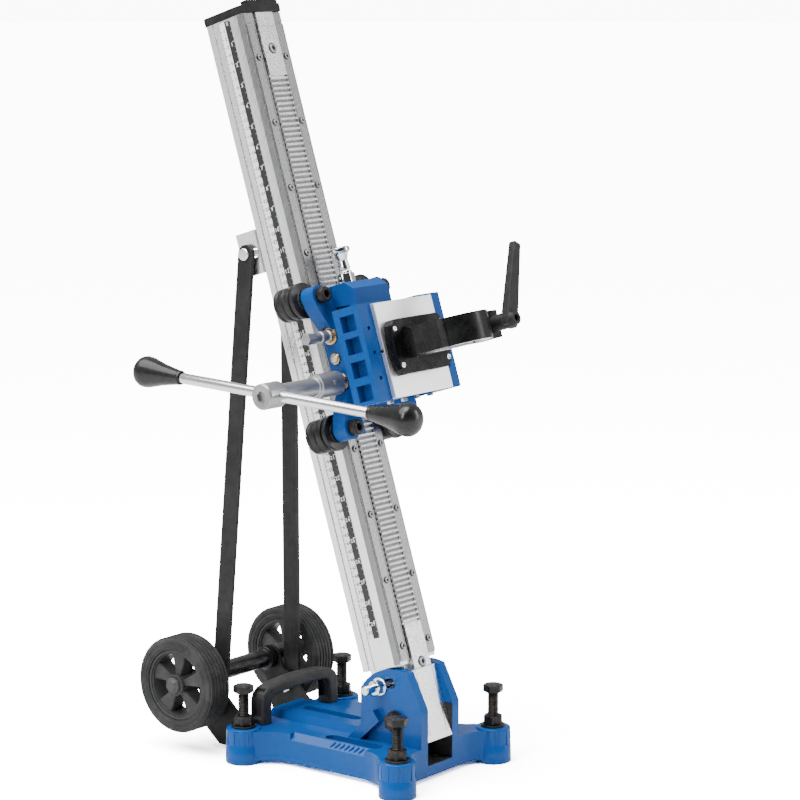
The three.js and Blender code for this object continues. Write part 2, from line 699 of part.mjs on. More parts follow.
for (const [level, s] of [["lower", ROLLER.low], ["upper", ROLLER.high]]) {
  for (const [name, side] of [["left", -1], ["right", 1]]) {
    const centre = [side * ROLLER.x, 0, s];
    const r = ROLLER.radius;
    const profile = [
      [0, -5], [13, -5], [13, -3], [22, -3], [22, 2.4], [17, 4], [r, 6.5], [r, 29], [17, 32],
      [0, 32],
    ];
    const bore = runningBore("y", 6, -9, 40, [centre[0], s]);
    const roller = cut(turned("y", profile, centre, 18), bore);
    add(column, `roller_${level}_${name}`, roller, BLACK, 0.5, 0.1);
    const bolt = join(
      bar("y", 6, -29, 33, [centre[0], s]),
      bar("y", 9.3, -38.5, -27 - GAP, [centre[0], s], 12),
      bar("y", 9.5, 32 + GAP, 36, [centre[0], s], 12),
    );
    add(column, `roller_bolt_${level}_${name}`, bolt, 0x2a2622, 0.5, 0.6);
  }
}

const plungerAt = [0, -27];
const socket = cut(
  hexagon("z", 21.5, 600 + GAP, 616, plungerAt),
  runningBore("z", 4, 590, 630, plungerAt),
);
add(column, "plunger_socket", socket, ALUMINIUM, 0.2, 0.95);
const plungerProfile = [
  [0, 562], [4, 562], [4, 617], [7.2, 617], [9.5, 636], [12, 638], [12, 643], [10.5, 644.5],
  [0, 644.5],
];
const plunger = turned("z", plungerProfile, [...plungerAt, 0]);
add(column, "lock_plunger", plunger, 0xdadcde, 0.15, 1);

// ---- Crank ----
const crankAt = [SHAFT_DEP, CRANK_S];
const crankHub = cut(
  steps("x", CRANK.endX, [[15.4, -160], [11, -94], [14.5, -53]], crankAt),
  bar("x", 8 + GAP, -84.5, -40, crankAt),
  bar("x", 6.5, -200, -183, crankAt, 6),
);

// The arms lie level in the rig, so their direction is turned back by the column's lean.
function alongArm(shape) {
  const angle = THREE.MathUtils.radToDeg(CRANK.lean + TILT);
  return shape.rotate([angle, 0, 0]).translate([CRANK.armX, ...crankAt]);
}
const armHole = alongArm(bar("y", 6.5 + GAP, -30, 30, [0, 0]));
add(column, "crank_hub", cut(crankHub, armHole), 0xcdd0d2, 0.25, 0.9);
const crankArm = alongArm(bar("y", 6.5, -CRANK.grip, CRANK.grip, [0, 0]));
add(column, "crank_arm", crankArm, 0xd6d8da, 0.2, 0.95);
const gripProfile = [[0, 0], [8, 0], [8.6, 8], [13, 30], [17.8, 46], [19, 55], [16.5, 64], [9, 69]];
for (const [name, turn] of [["rear", 0], ["front", 180]]) {
  const profile = [...gripProfile, [0, 70]].map(([r, h]) => [r, h + CRANK.grip + GAP]);
  const grip = turned("y", profile, [0, 0, 0], 20).rotate([turn, 0, 0]);
  add(column, `crank_grip_${name}`, alongArm(grip), 0x1d1d1f, 0.45, 0);
}

// ---- Drill collar ----
function drillCollar() {
  const { dep, s, bore, wall, half } = COLLAR;
  const span = [s - half, s + half];
  const ringAt = [0, dep];
  const web = [[-113, 532], [-128, s + half - 1], [-150, s + half - 1], [-150, s], [-113, s]];
  const backing = slotOutline([-41, 508.5], [41, 508.5], 10);
  const rounded = backing.map(([x, z]) => [x, 508.5 + (z - 508.5) * 3.25]);
  return cut(
    join(
      prism("y", rounded, -114, -101.8),
      box([-30, 30], [-140, -113], span),
      prism("x", web, -27, -20),
      prism("x", web, 20, 27),
      bar("z", wall, ...span, ringAt, 30),
      box([-52, -33], [dep - 16, dep + 22], span),
      box([34, 68], [dep - 14, dep + 18], span),
    ),
    bar("z", bore, s - 60, s + 60, ringAt, 40),
    box([bore - 3, 80], [dep - 1.5, dep + 1.5], [s - 30, s + 30]),
    runningBore("y", 5, dep - 60, dep + 30, [LEVER.x, s]),
  );
}
add(column, "drill_collar", drillCollar(), 0x17181a, 0.4, 0.4);

const leverFace = COLLAR.dep - 14 - GAP;

// The lever and its screw: it narrows towards its tip and leans away from the column.
function clampLever() {
  const sections = [[8, leverFace - 30], [10, leverFace], [5, COLLAR.dep + 17]];
  const hub = cut(
    steps("y", leverFace - 34, sections, [0, 0]),
    bar("y", 3.6, leverFace - 40, leverFace - 29, [0, 0], 6),
  );
  const blade = [[-9, 2], [-6.5, LEVER.reach], [6.5, LEVER.reach], [9, 2]];
  const arm = prism("y", blade, leverFace - 29, leverFace - 17);
  const tilt = THREE.MathUtils.radToDeg(LEVER.lean);
  return join(hub, arm).rotate([0, tilt, 0]).translate([LEVER.x, 0, COLLAR.s]);
}
add(column, "clamp_lever", clampLever(), 0x1c1d1f, 0.4, 0);

rig.updateMatrixWorld(true);
const bounds = new THREE.Box3().setFromObject(rig, true);
const middle = bounds.getCenter(new THREE.Vector3());
rig.position.set(-middle.x, -middle.y, -bounds.min.z);
rig.updateMatrixWorld(true);

export default rig;
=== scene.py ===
"""Looks of the core drill rig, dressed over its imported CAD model.

Sizes are in millimetres in two drawings. The rig drawing has its origin on the floor, midway
between the four levelling screws: X away from the crank, Y to the wheels, Z up. The column
drawing is (across, depth, length): depth runs back from the rack's front, length runs up the
leaning column from the floor. The Drawing class turns both into the row frame in metres.
"""

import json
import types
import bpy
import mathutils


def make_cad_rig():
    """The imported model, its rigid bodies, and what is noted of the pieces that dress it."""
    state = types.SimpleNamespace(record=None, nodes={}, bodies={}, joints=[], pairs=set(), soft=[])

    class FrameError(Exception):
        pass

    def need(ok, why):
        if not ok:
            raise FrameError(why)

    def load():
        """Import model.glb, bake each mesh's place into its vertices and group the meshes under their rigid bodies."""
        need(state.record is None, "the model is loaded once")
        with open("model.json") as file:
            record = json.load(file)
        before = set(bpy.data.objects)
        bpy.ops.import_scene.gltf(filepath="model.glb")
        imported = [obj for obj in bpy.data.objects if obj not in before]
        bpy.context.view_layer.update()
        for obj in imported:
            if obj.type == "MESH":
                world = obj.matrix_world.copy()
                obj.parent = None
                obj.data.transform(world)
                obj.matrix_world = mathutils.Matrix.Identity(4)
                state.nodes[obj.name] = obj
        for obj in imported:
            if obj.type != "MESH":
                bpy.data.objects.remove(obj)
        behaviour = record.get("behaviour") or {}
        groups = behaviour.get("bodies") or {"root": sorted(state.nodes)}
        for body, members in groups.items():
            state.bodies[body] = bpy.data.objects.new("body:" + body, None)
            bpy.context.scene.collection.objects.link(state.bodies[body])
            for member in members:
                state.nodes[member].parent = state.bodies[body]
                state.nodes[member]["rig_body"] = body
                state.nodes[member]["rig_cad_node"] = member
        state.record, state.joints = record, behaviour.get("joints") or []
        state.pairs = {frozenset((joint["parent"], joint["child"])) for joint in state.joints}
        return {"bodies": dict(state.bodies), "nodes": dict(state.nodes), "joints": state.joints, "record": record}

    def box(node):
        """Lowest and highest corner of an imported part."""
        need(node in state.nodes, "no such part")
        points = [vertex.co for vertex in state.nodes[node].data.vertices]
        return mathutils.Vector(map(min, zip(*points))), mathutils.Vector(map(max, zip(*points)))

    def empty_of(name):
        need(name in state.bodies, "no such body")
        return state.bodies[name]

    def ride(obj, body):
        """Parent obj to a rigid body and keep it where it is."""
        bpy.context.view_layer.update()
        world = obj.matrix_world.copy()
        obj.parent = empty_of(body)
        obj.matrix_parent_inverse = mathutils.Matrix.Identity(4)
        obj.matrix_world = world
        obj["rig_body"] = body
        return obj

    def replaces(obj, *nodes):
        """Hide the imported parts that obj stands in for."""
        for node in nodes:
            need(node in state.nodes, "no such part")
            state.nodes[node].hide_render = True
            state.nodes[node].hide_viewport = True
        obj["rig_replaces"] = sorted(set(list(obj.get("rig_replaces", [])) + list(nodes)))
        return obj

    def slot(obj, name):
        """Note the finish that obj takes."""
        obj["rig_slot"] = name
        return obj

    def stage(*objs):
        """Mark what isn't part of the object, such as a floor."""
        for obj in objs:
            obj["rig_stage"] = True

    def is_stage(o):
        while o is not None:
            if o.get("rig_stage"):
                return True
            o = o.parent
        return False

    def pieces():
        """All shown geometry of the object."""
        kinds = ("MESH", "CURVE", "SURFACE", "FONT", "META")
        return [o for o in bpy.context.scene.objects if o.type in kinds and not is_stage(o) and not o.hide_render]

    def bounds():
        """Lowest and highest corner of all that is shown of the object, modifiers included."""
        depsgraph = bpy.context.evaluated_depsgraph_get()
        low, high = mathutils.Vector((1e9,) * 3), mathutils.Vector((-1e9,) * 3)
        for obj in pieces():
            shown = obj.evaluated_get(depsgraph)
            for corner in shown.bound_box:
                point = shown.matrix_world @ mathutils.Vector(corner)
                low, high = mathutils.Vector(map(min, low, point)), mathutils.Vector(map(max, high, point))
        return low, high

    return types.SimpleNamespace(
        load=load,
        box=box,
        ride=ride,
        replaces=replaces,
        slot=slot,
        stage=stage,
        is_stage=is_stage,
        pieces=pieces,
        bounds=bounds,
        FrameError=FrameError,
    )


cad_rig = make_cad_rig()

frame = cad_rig.load()

import json
import logging
import math
from collections.abc import Iterable, Sequence
from dataclasses import dataclass
from enum import Enum
from typing import ClassVar

import bmesh
import bpy
import numpy as np
from mathutils import Vector

log = logging.getLogger("core_drill_rig")
MM = 0.001
CORNERS = ("front_left", "front_right", "rear_left", "rear_right")
SIDES = (("left", -1), ("right", 1))


class Line(Enum):
    """The directions in which a turned or carried piece can point."""

    ACROSS = "across"
    RIG_Y = "rig_y"
    UP = "up"
    DEPTH = "depth"
    ALONG = "along"


@dataclass(frozen=True)
class Place:
    """A point and three axes; the third is a turned piece's own axis."""

    origin: np.ndarray
    axes: np.ndarray

    def put(self, local: np.ndarray) -> np.ndarray:
        """Local millimetres to the row frame: the origin plus each coordinate along its axis."""
        return self.origin + (np.asarray(local, float) * MM) @ self.axes

    def turned(self, degrees: float) -> "Place":
        """The same place turned about its third axis."""
        c, s = math.cos(math.radians(degrees)), math.sin(math.radians(degrees))
        a, b, axis = self.axes
        return Place(self.origin, np.array([c * a + s * b, c * b - s * a, axis]))

    def moved(self, a: float, b: float, c: float) -> "Place":
        """The same axes at another local point."""
        return Place(self.put(np.array([a, b, c])), self.axes)

    def reversed(self) -> "Place":
        """The same place with its third axis pointing the other way."""
        return Place(self.origin, self.axes * np.array([[1], [-1], [-1]]))


class Drawing:
    """Turns the two drawings' millimetres into the row frame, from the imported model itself."""

    pivot_depth = 30.60
    pivot_length = 83.01
    shaft_depth = -18.0
    crank_length = 487.4

    def __init__(self) -> None:
        """Reads the levelling screws' boxes and the column's joints."""
        boxes = [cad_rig.box(f"levelling_screw_{corner}") for corner in CORNERS]
        middles = np.array([[(lo[k] + hi[k]) / 2 for k in (0, 1)] for lo, hi in boxes])
        self.origin = np.array([*middles.mean(axis=0), 0.0])
        joints = {joint["name"]: joint for joint in frame["joints"]}
        self.along = np.array(joints["carriage_travel"]["axis"], float)
        self.along /= np.linalg.norm(self.along)
        self.across = np.array([1.0, 0.0, 0.0])
        self.depth = np.cross(self.along, self.across)
        self.pivot = np.array(joints["column_tilt"]["pos_m"], float)

    def axes(self, line: Line) -> np.ndarray:
        """Two cross axes and the named line, as a right-handed set."""
        x, y, z = np.eye(3)
        return {
            Line.ACROSS: np.array([y, z, x]),
            Line.RIG_Y: np.array([z, x, y]),
            Line.UP: np.array([x, y, z]),
            Line.DEPTH: np.array([self.along, x, self.depth]),
            Line.ALONG: np.array([x, self.depth, self.along]),
        }[line]

    def rig(self, x: float, y: float, z: float, line: Line = Line.UP) -> Place:
        """A place on the rig drawing."""
        return Place(self.origin + np.array([x, y, z]) * MM, self.axes(line))

    def column(self, x: float, depth: float, length: float, line: Line = Line.ALONG) -> Place:
        """A place on the column drawing."""
        point = self.pivot.copy()
        point[0] = self.origin[0] + x * MM
        point = point + self.depth * (depth - self.pivot_depth) * MM
        point = point + self.along * (length - self.pivot_length) * MM
        axes = self.axes(line)
        if line is Line.ACROSS:
            axes = np.array([self.depth, self.along, self.across])
        return Place(point, axes)


# ---------------------------------------------------------------- surfaces


@dataclass
class Surface:
    """Points in the row frame and the faces between them."""

    points: np.ndarray
    faces: list

    @staticmethod
    def joined(parts: Iterable["Surface"]) -> "Surface":
        """One surface that holds all the parts."""
        points, faces, start = [], [], 0
        for part in parts:
            points.append(part.points)
            faces.extend([[start + i for i in face] for face in part.faces])
            start += len(part.points)
        return Surface(np.concatenate(points), faces)


@dataclass(frozen=True)
class Ring:
    """One ring of a turned piece: its height, its round limit and, if it has flats, their apothem."""

    height: float
    radius: float
    apothem: float = 0.0
    flats: int = 6
    phase: float = 0.0

    def radii(self, angles: np.ndarray) -> np.ndarray:
        """Radius at each angle: the lesser of the round limit and apothem / cos(angle off the flat)."""
        if not self.apothem:
            return np.full(len(angles), self.radius)
        step = 2 * np.pi / self.flats
        off = (angles + self.phase + step / 2) % step - step / 2
        return np.minimum(self.radius, self.apothem / np.cos(off))


def grid_faces(rows: int, columns: int, wrap_rows: bool = False) -> list:
    """Quads of a grid of points whose columns wrap round; its rows wrap too if asked."""
    last = rows if wrap_rows else rows - 1
    i, j = np.meshgrid(np.arange(last), np.arange(columns), indexing="ij")
    below, beside = (i + 1) % rows, (j + 1) % columns
    quads = [i * columns + j, i * columns + beside, below * columns + beside, below * columns + j]
    return np.stack(quads, axis=-1).reshape(-1, 4).tolist()


def closed_faces(rows: int, columns: int) -> list:
    """A grid's quads, and one face each to close its first and its last row."""
    first = list(range(columns))
    return [*grid_faces(rows, columns), first, [(rows - 1) * columns + k for k in first]]


def rounded_section(count: int, power: float) -> tuple[np.ndarray, np.ndarray]:
    """Cos t and sin t raised to 2 / power, signs kept: a circle at 2, a rounded square above it."""
    t = np.arange(count) * 2 * np.pi / count
    c = np.sign(np.cos(t)) * np.abs(np.cos(t)) ** (2 / power)
    s = np.sign(np.sin(t)) * np.abs(np.sin(t)) ** (2 / power)
    return c, s


def turned(place: Place, rings: Sequence[Ring], sides: int = 64, loop: bool = False) -> Surface:
    """A turned piece: point = (r cos t, r sin t, height), r from each ring; ends close in a flat cap.

    Args:
        place: where the piece's axis is.
        rings: its profile from one end to the other.
        sides: steps round the axis.
        loop: whether the last ring joins the first, for a hollow ring.
    Returns:
        The closed surface.
    """
    angles = np.arange(sides) * 2 * np.pi / sides
    radii = np.array([ring.radii(angles) for ring in rings])
    heights = np.array([ring.height for ring in rings])[:, None] + 0 * angles
    local = np.stack([radii * np.cos(angles), radii * np.sin(angles), heights], axis=-1)
    faces = grid_faces(len(rings), sides, True) if loop else closed_faces(len(rings), sides)
    return Surface(place.put(local.reshape(-1, 3)), faces)


def eased(profile: Sequence[Sequence[float]], radius: float, steps: int = 3) -> list[Ring]:
    """Rounds a profile's corners: each becomes a quadratic curve between points a radius away.

    Args:
        profile: (height, radius) pairs.
        radius: how far from each corner its curve starts, at most half a segment.
        steps: curve steps at each corner.
    Returns:
        The rings of the rounded profile.
    """
    p = np.array(profile, float)
    before, corner, after = p[:-2], p[1:-1], p[2:]
    back, ahead = before - corner, after - corner
    long_back = np.linalg.norm(back, axis=1, keepdims=True)
    long_ahead = np.linalg.norm(ahead, axis=1, keepdims=True)
    start = corner + back * np.minimum(0.49, radius / np.maximum(long_back, 1e-9))
    end = corner + ahead * np.minimum(0.49, radius / np.maximum(long_ahead, 1e-9))
    t = np.linspace(0, 1, steps + 1)[None, :, None]
    curve = (1 - t) ** 2 * start[:, None] + 2 * t * (1 - t) * corner[:, None]
    curve = (curve + t**2 * end[:, None]).reshape(-1, 2)
    return [Ring(h, r) for h, r in np.vstack([p[:1], curve, p[-1:]])]


def round_bar(place: Place, profile: Sequence[Sequence[float]], edge: float = 0.5,
              sides: int = 64) -> Surface:
    """A turned bar with rounded edges, closed at both ends.

    Args:
        place: where the bar's axis is.
        profile: (height, radius) pairs from one end to the other.
        edge: the rounding of its corners.
        sides: steps round the axis.
    Returns:
        The closed surface.
    """
    closed = [(profile[0][0], 0.01), *profile, (profile[-1][0], 0.01)]
    return turned(place, eased(closed, edge), sides)


def collar_ring(place: Place, inner: float, outer: float, low: float, high: float,
                edge: float = 0.4, sides: int = 64) -> Surface:
    """A ring of rectangular section with rounded edges.

    Args:
        place: where the ring's axis is.
        inner: its inner radius.
        outer: its outer radius.
        low: the height of its first face.
        high: the height of its other face.
        edge: the rounding of its corners.
        sides: steps round the axis.
    Returns:
        The closed surface.
    """
    middle = (low + high) / 2
    around = [(middle, outer), (high, outer), (high, inner), (low, inner), (low, outer)]
    return turned(place, eased([*around, (middle, outer)], edge)[:-1], sides, loop=True)


def hex_head(place: Place, apothem: float, low: float, high: float, socket: float = 0.0,
             phase: float = 0.0) -> Surface:
    """A hexagonal head with chamfered ends: radius = the lesser of the chamfer's and the flats'.

    Args:
        place: where the head's axis is.
        apothem: half its width across flats.
        low: the height of its first face.
        high: the height of its other face.
        socket: half the width of a socket in its high end, or zero for none.
        phase: how far it is turned, in radians.
    Returns:
        The closed surface.
    """
    corner = apothem / math.cos(math.pi / 6)
    drop = (corner - apothem) * 0.6
    limit = [(low, apothem * 0.97), (low + drop * 0.5, (apothem + corner) / 2), (low + drop, corner),
             (high - drop, corner), (high - drop * 0.5, (apothem + corner) / 2), (high, apothem * 0.97)]
    rings = [Ring(h, r, apothem, 6, phase) for h, r in limit]
    rings.insert(0, Ring(low, 0.01))
    if socket:
        rings += [Ring(high, socket * 1.18), Ring(high - 0.4, socket * 1.2, socket),
                  Ring(high - (high - low) * 0.55, socket * 1.2, socket)]
        rings.append(Ring(high - (high - low) * 0.6, 0.01))
    else:
        rings.append(Ring(high, 0.01))
    return turned(place, rings, 48)


def socket_screw(place: Place, radius: float, height: float, sides: int = 24) -> Surface:
    """A small round cap screw with a hexagonal socket, its head standing up from zero.

    Args:
        place: where the screw's axis is.
        radius: its head's radius.
        height: its head's height.
        sides: steps round the axis.
    Returns:
        The closed surface.
    """
    well = radius * 0.52
    rings = eased([(0, 0.01), (0, radius), (height, radius), (height, well * 1.2)], height * 0.35)
    rings += [Ring(height - 0.1, well * 1.15, well), Ring(height * 0.35, well * 1.15, well)]
    rings.append(Ring(height * 0.3, 0.01))
    return turned(place, rings, sides)


def threaded_bar(place: Place, radius: float, low: float, high: float, pitch: float) -> Surface:
    """A screw thread: radius less a triangle wave of (height / pitch - angle / turn).

    Args:
        place: where the thread's axis is.
        radius: the crests' radius.
        low: the height where the thread starts.
        high: the height where it ends.
        pitch: the height of one turn.
    Returns:
        The closed surface, plain at both ends.
    """
    sides = 32
    rows = int((high - low) / pitch * 6) + 1
    heights = np.linspace(low, high, rows)[:, None]
    angles = (np.arange(sides) * 2 * np.pi / sides)[None, :]
    wave = np.abs(((heights / pitch - angles / (2 * np.pi)) % 1) * 2 - 1)
    ends = np.clip(np.minimum(heights - low, high - heights) / (0.6 * pitch), 0, 1)
    r = radius - 0.14 * pitch - 0.5 * pitch * wave * ends - 0.3 * (1 - ends)
    local = np.stack([r * np.cos(angles), r * np.sin(angles), heights + 0 * angles], axis=-1)
    return Surface(place.put(local.reshape(-1, 3)), closed_faces(rows, sides))


def carried(path: np.ndarray, first: np.ndarray, second: np.ndarray, half_first: np.ndarray,
            half_second: np.ndarray, power: float = 5.0, around: int = 36) -> Surface:
    """A section carried along a path: point = path + first * a * c + second * b * s.

    Args:
        path: the section's middles, in the row frame in metres.
        first: the section's first axis at each middle.
        second: its second axis at each middle.
        half_first: its half width in millimetres along the first axis.
        half_second: its half width along the second axis.
        power: how square the section is, as rounded_section says.
        around: points round the section.
    Returns:
        The surface, closed flat at both ends.
    """
    c, s = rounded_section(around, power)
    a = (np.asarray(half_first) * MM)[:, None, None] * c[None, :, None]
    b = (np.asarray(half_second) * MM)[:, None, None] * s[None, :, None]
    points = path[:, None, :] + first[:, None, :] * a + second[:, None, :] * b
    return Surface(points.reshape(-1, 3), closed_faces(len(path), around))


def plates(place: Place, middles: np.ndarray, sizes: np.ndarray) -> Surface:
    """Many thin rectangular plates: the eight corners are middle +- size / 2 on the place's axes.

    Args:
        place: the axes that the plates line up with.
        middles: one row of local millimetres for each plate.
        sizes: one row of widths for each plate.
    Returns:
        One surface that holds all the plates.
    """
    signs = np.array([[x, y, z] for x in (-1, 1) for y in (-1, 1) for z in (-1, 1)]) / 2
    points = middles[:, None, :] + signs[None] * sizes[:, None, :]
    quads = np.array([[0, 1, 3, 2], [4, 6, 7, 5], [0, 4, 5, 1], [2, 3, 7, 6], [0, 2, 6, 4], [1, 5, 7, 3]])
    faces = (quads[None] + 8 * np.arange(len(middles))[:, None, None]).reshape(-1, 4)
    return Surface(place.put(points.reshape(-1, 3)), faces.tolist())


class Numerals:
    """The ten digits as flat outlines with a little thickness, made once and laid out as arrays."""

    def __init__(self, height: float) -> None:
        """Makes each digit's mesh at the wanted height in millimetres."""
        self.digits: dict[str, Surface] = {}
        self.widths: dict[str, float] = {}
        for digit in "0123456789":
            curve = bpy.data.curves.new(f"digit_{digit}", "FONT")
            curve.body = digit
            curve.size = 1.0
            curve.resolution_u = 3
            curve.extrude = 0.02
            curve.offset = 0.022
            holder = bpy.data.objects.new(f"digit_{digit}", curve)
            mesh = bpy.data.meshes.new_from_object(holder)
            points = np.zeros(len(mesh.vertices) * 3)
            mesh.vertices.foreach_get("co", points)
            points = points.reshape(-1, 3)
            low, high = points.min(axis=0), points.max(axis=0)
            scale = height / 0.69
            centre = np.array([(low[0] + high[0]) / 2, (low[1] + high[1]) / 2, 0])
            faces = [list(face.vertices) for face in mesh.polygons]
            flat = np.array([scale, scale, 1.0])
            self.digits[digit] = Surface((points - centre) * flat, faces)
            self.widths[digit] = float(high[0] - low[0]) * scale
            bpy.data.objects.remove(holder)
            bpy.data.curves.remove(curve)
            bpy.data.meshes.remove(mesh)
        self.step = max(self.widths.values()) * 1.12

    def written(self, place: Place, text: str, x: float, y: float) -> Surface:
        """A number centred on a local point of the place; digits stand a step apart."""
        parts = []
        for k, digit in enumerate(text):
            part = self.digits[digit]
            offset = np.array([x + (k - (len(text) - 1) / 2) * self.step, y, 0])
            parts.append(Surface(place.put(part.points + offset), part.faces))
        return Surface.joined(parts)


# ---------------------------------------------------------------- finishes


class Sheet:
    """A material's node tree, with short names for the nodes that the finishes use."""

    def __init__(self, name: str) -> None:
        """Starts an empty tree that ends in one shader."""
        self.material = bpy.data.materials.new(name)
        self.material.use_nodes = True
        self.nodes = self.material.node_tree.nodes
        self.links = self.material.node_tree.links
        self.shader = self.nodes["Principled BSDF"]
        self.coordinates = self.nodes.new("ShaderNodeTexCoord").outputs["Object"]

    def set(self, **values: object) -> None:
        """Sets the shader's own sockets; underscores stand for spaces."""
        for name, value in values.items():
            self.shader.inputs[name.replace("_", " ")].default_value = value

    def mapped(self, scale: Sequence[float], tilt: float = 0.0) -> bpy.types.NodeSocket:
        """Object coordinates turned about X by tilt, then scaled."""
        turn = self.nodes.new("ShaderNodeMapping")
        turn.inputs["Rotation"].default_value = (tilt, 0.0, 0.0)
        self.links.new(self.coordinates, turn.inputs["Vector"])
        size = self.nodes.new("ShaderNodeMapping")
        size.inputs["Scale"].default_value = tuple(scale)
        self.links.new(turn.outputs["Vector"], size.inputs["Vector"])
        return size.outputs["Vector"]

    def noise(self, scale: float, detail: float = 3.0, vector: bpy.types.NodeSocket | None = None,
              roughness: float = 0.55) -> bpy.types.NodeSocket:
        """Cloudy noise at a scale given in cycles per metre."""
        node = self.nodes.new("ShaderNodeTexNoise")
        node.inputs["Scale"].default_value = scale
        node.inputs["Detail"].default_value = detail
        node.inputs["Roughness"].default_value = roughness
        self.links.new(vector or self.coordinates, node.inputs["Vector"])
        return node.outputs["Fac"]

    def spread(self, value: bpy.types.NodeSocket, low: float, high: float, start: float = 0.3,
               end: float = 0.7) -> bpy.types.NodeSocket:
        """Maps start..end to low..high, clamped."""
        node = self.nodes.new("ShaderNodeMapRange")
        for name, number in zip(("From Min", "From Max", "To Min", "To Max"), (start, end, low, high)):
            node.inputs[name].default_value = number
        self.links.new(value, node.inputs["Value"])
        return node.outputs["Result"]

    def mixed(self, amount: bpy.types.NodeSocket, first: Sequence[float],
              second: Sequence[float] | bpy.types.NodeSocket) -> bpy.types.NodeSocket:
        """A colour between two, by an amount from 0 to 1."""
        node = self.nodes.new("ShaderNodeMix")
        node.data_type = "RGBA"
        self.links.new(amount, node.inputs["Factor"])
        for name, colour in (("A", first), ("B", second)):
            socket = [s for s in node.inputs if s.name == name and s.type == "RGBA"][0]
            if isinstance(colour, bpy.types.NodeSocket):
                self.links.new(colour, socket)
            else:
                socket.default_value = (*colour[:3], 1.0)
        return [s for s in node.outputs if s.type == "RGBA"][0]

    def bump(self, height: bpy.types.NodeSocket, distance: float, strength: float = 1.0,
             under: bpy.types.NodeSocket | None = None) -> bpy.types.NodeSocket:
        """A bump of a real depth in metres, on top of another if given."""
        node = self.nodes.new("ShaderNodeBump")
        node.inputs["Distance"].default_value = distance
        node.inputs["Strength"].default_value = strength
        self.links.new(height, node.inputs["Height"])
        if under is not None:
            self.links.new(under, node.inputs["Normal"])
        return node.outputs["Normal"]

    def use(self, name: str, socket: bpy.types.NodeSocket) -> None:
        """Links a socket to one of the shader's inputs."""
        self.links.new(socket, self.shader.inputs[name])


def shaded(colour: Sequence[float], amount: float) -> tuple[float, float, float]:
    """A colour made lighter or darker by a share of itself."""
    return tuple(min(1.0, channel * (1 + amount)) for channel in colour)


@dataclass(frozen=True)
class Finish:
    """A surface finish: its record slot, colour and roughness. Subclasses add its texture."""

    name: str
    slot: str
    colour: tuple[float, float, float]
    roughness: float = 0.4

    def material(self) -> bpy.types.Material:
        """The finish's material, made the first time it is asked for."""
        known = bpy.data.materials.get(self.name)
        if known is not None:
            return known
        sheet = Sheet(self.name)
        sheet.material.diffuse_color = (*self.colour, 1.0)
        self.draw(sheet)
        return sheet.material

    def draw(self, sheet: Sheet) -> None:
        """Draws the finish's nodes."""
        sheet.set(Base_Color=(*self.colour, 1.0), Roughness=self.roughness)


@dataclass(frozen=True)
class Paint(Finish):
    """Gloss paint over a casting: slight colour drift, orange peel and the casting's own waviness."""

    gloss: float = 0.6
    peel: float = 0.000006
    wave: float = 0.00005

    def draw(self, sheet: Sheet) -> None:
        """Colour drifts over centimetres; roughness drifts over millimetres."""
        drift = sheet.spread(sheet.noise(14.0, 4.0), 0.0, 1.0)
        sheet.use("Base Color", sheet.mixed(drift, shaded(self.colour, -0.05), shaded(self.colour, 0.04)))
        speck = sheet.noise(160.0, 4.0)
        sheet.use("Roughness", sheet.spread(speck, self.roughness - 0.03, self.roughness + 0.04))
        cast = sheet.bump(sheet.noise(55.0, 2.0), self.wave)
        sheet.use("Normal", sheet.bump(sheet.noise(450.0, 2.0), self.peel, under=cast))
        sheet.set(Coat_Weight=self.gloss, Coat_Roughness=0.08, Specular_IOR_Level=0.14)


@dataclass(frozen=True)
class Moulded(Finish):
    """Plastic or rubber: a fine grain with dusty, slightly worn patches."""

    grain: float = 1800.0
    depth: float = 0.00004
    dust: float = 0.25
    shine: float = 0.18

    def draw(self, sheet: Sheet) -> None:
        """Grain from fine noise; dust lightens broad patches a little."""
        patch = sheet.spread(sheet.noise(26.0, 5.0, roughness=0.7), 0.0, 1.0, 0.42, 0.75)
        pale = shaded(tuple(c + 0.012 for c in self.colour), self.dust)
        sheet.use("Base Color", sheet.mixed(patch, self.colour, pale))
        rough = sheet.noise(90.0, 4.0)
        sheet.use("Roughness", sheet.spread(rough, self.roughness - 0.05, self.roughness + 0.09))
        sheet.use("Normal", sheet.bump(sheet.noise(self.grain, 2.0), self.depth))
        sheet.set(Specular_IOR_Level=self.shine)


@dataclass(frozen=True)
class Oxide(Finish):
    """Black oxide on steel: dark metal with a faint brown tint in places."""

    tint: tuple[float, float, float] = (0.05, 0.032, 0.022)

    def draw(self, sheet: Sheet) -> None:
        """The tint comes and goes in small patches; fine grit breaks the highlights."""
        patch = sheet.spread(sheet.noise(120.0, 5.0, roughness=0.65), 0.0, 1.0, 0.5, 0.72)
        sheet.use("Base Color", sheet.mixed(patch, self.colour, self.tint))
        rough = sheet.noise(400.0, 3.0)
        sheet.use("Roughness", sheet.spread(rough, self.roughness - 0.08, self.roughness + 0.12))
        sheet.use("Normal", sheet.bump(sheet.noise(1500.0, 2.0), 0.00003))
        sheet.set(Metallic=0.2, Specular_IOR_Level=0.3)


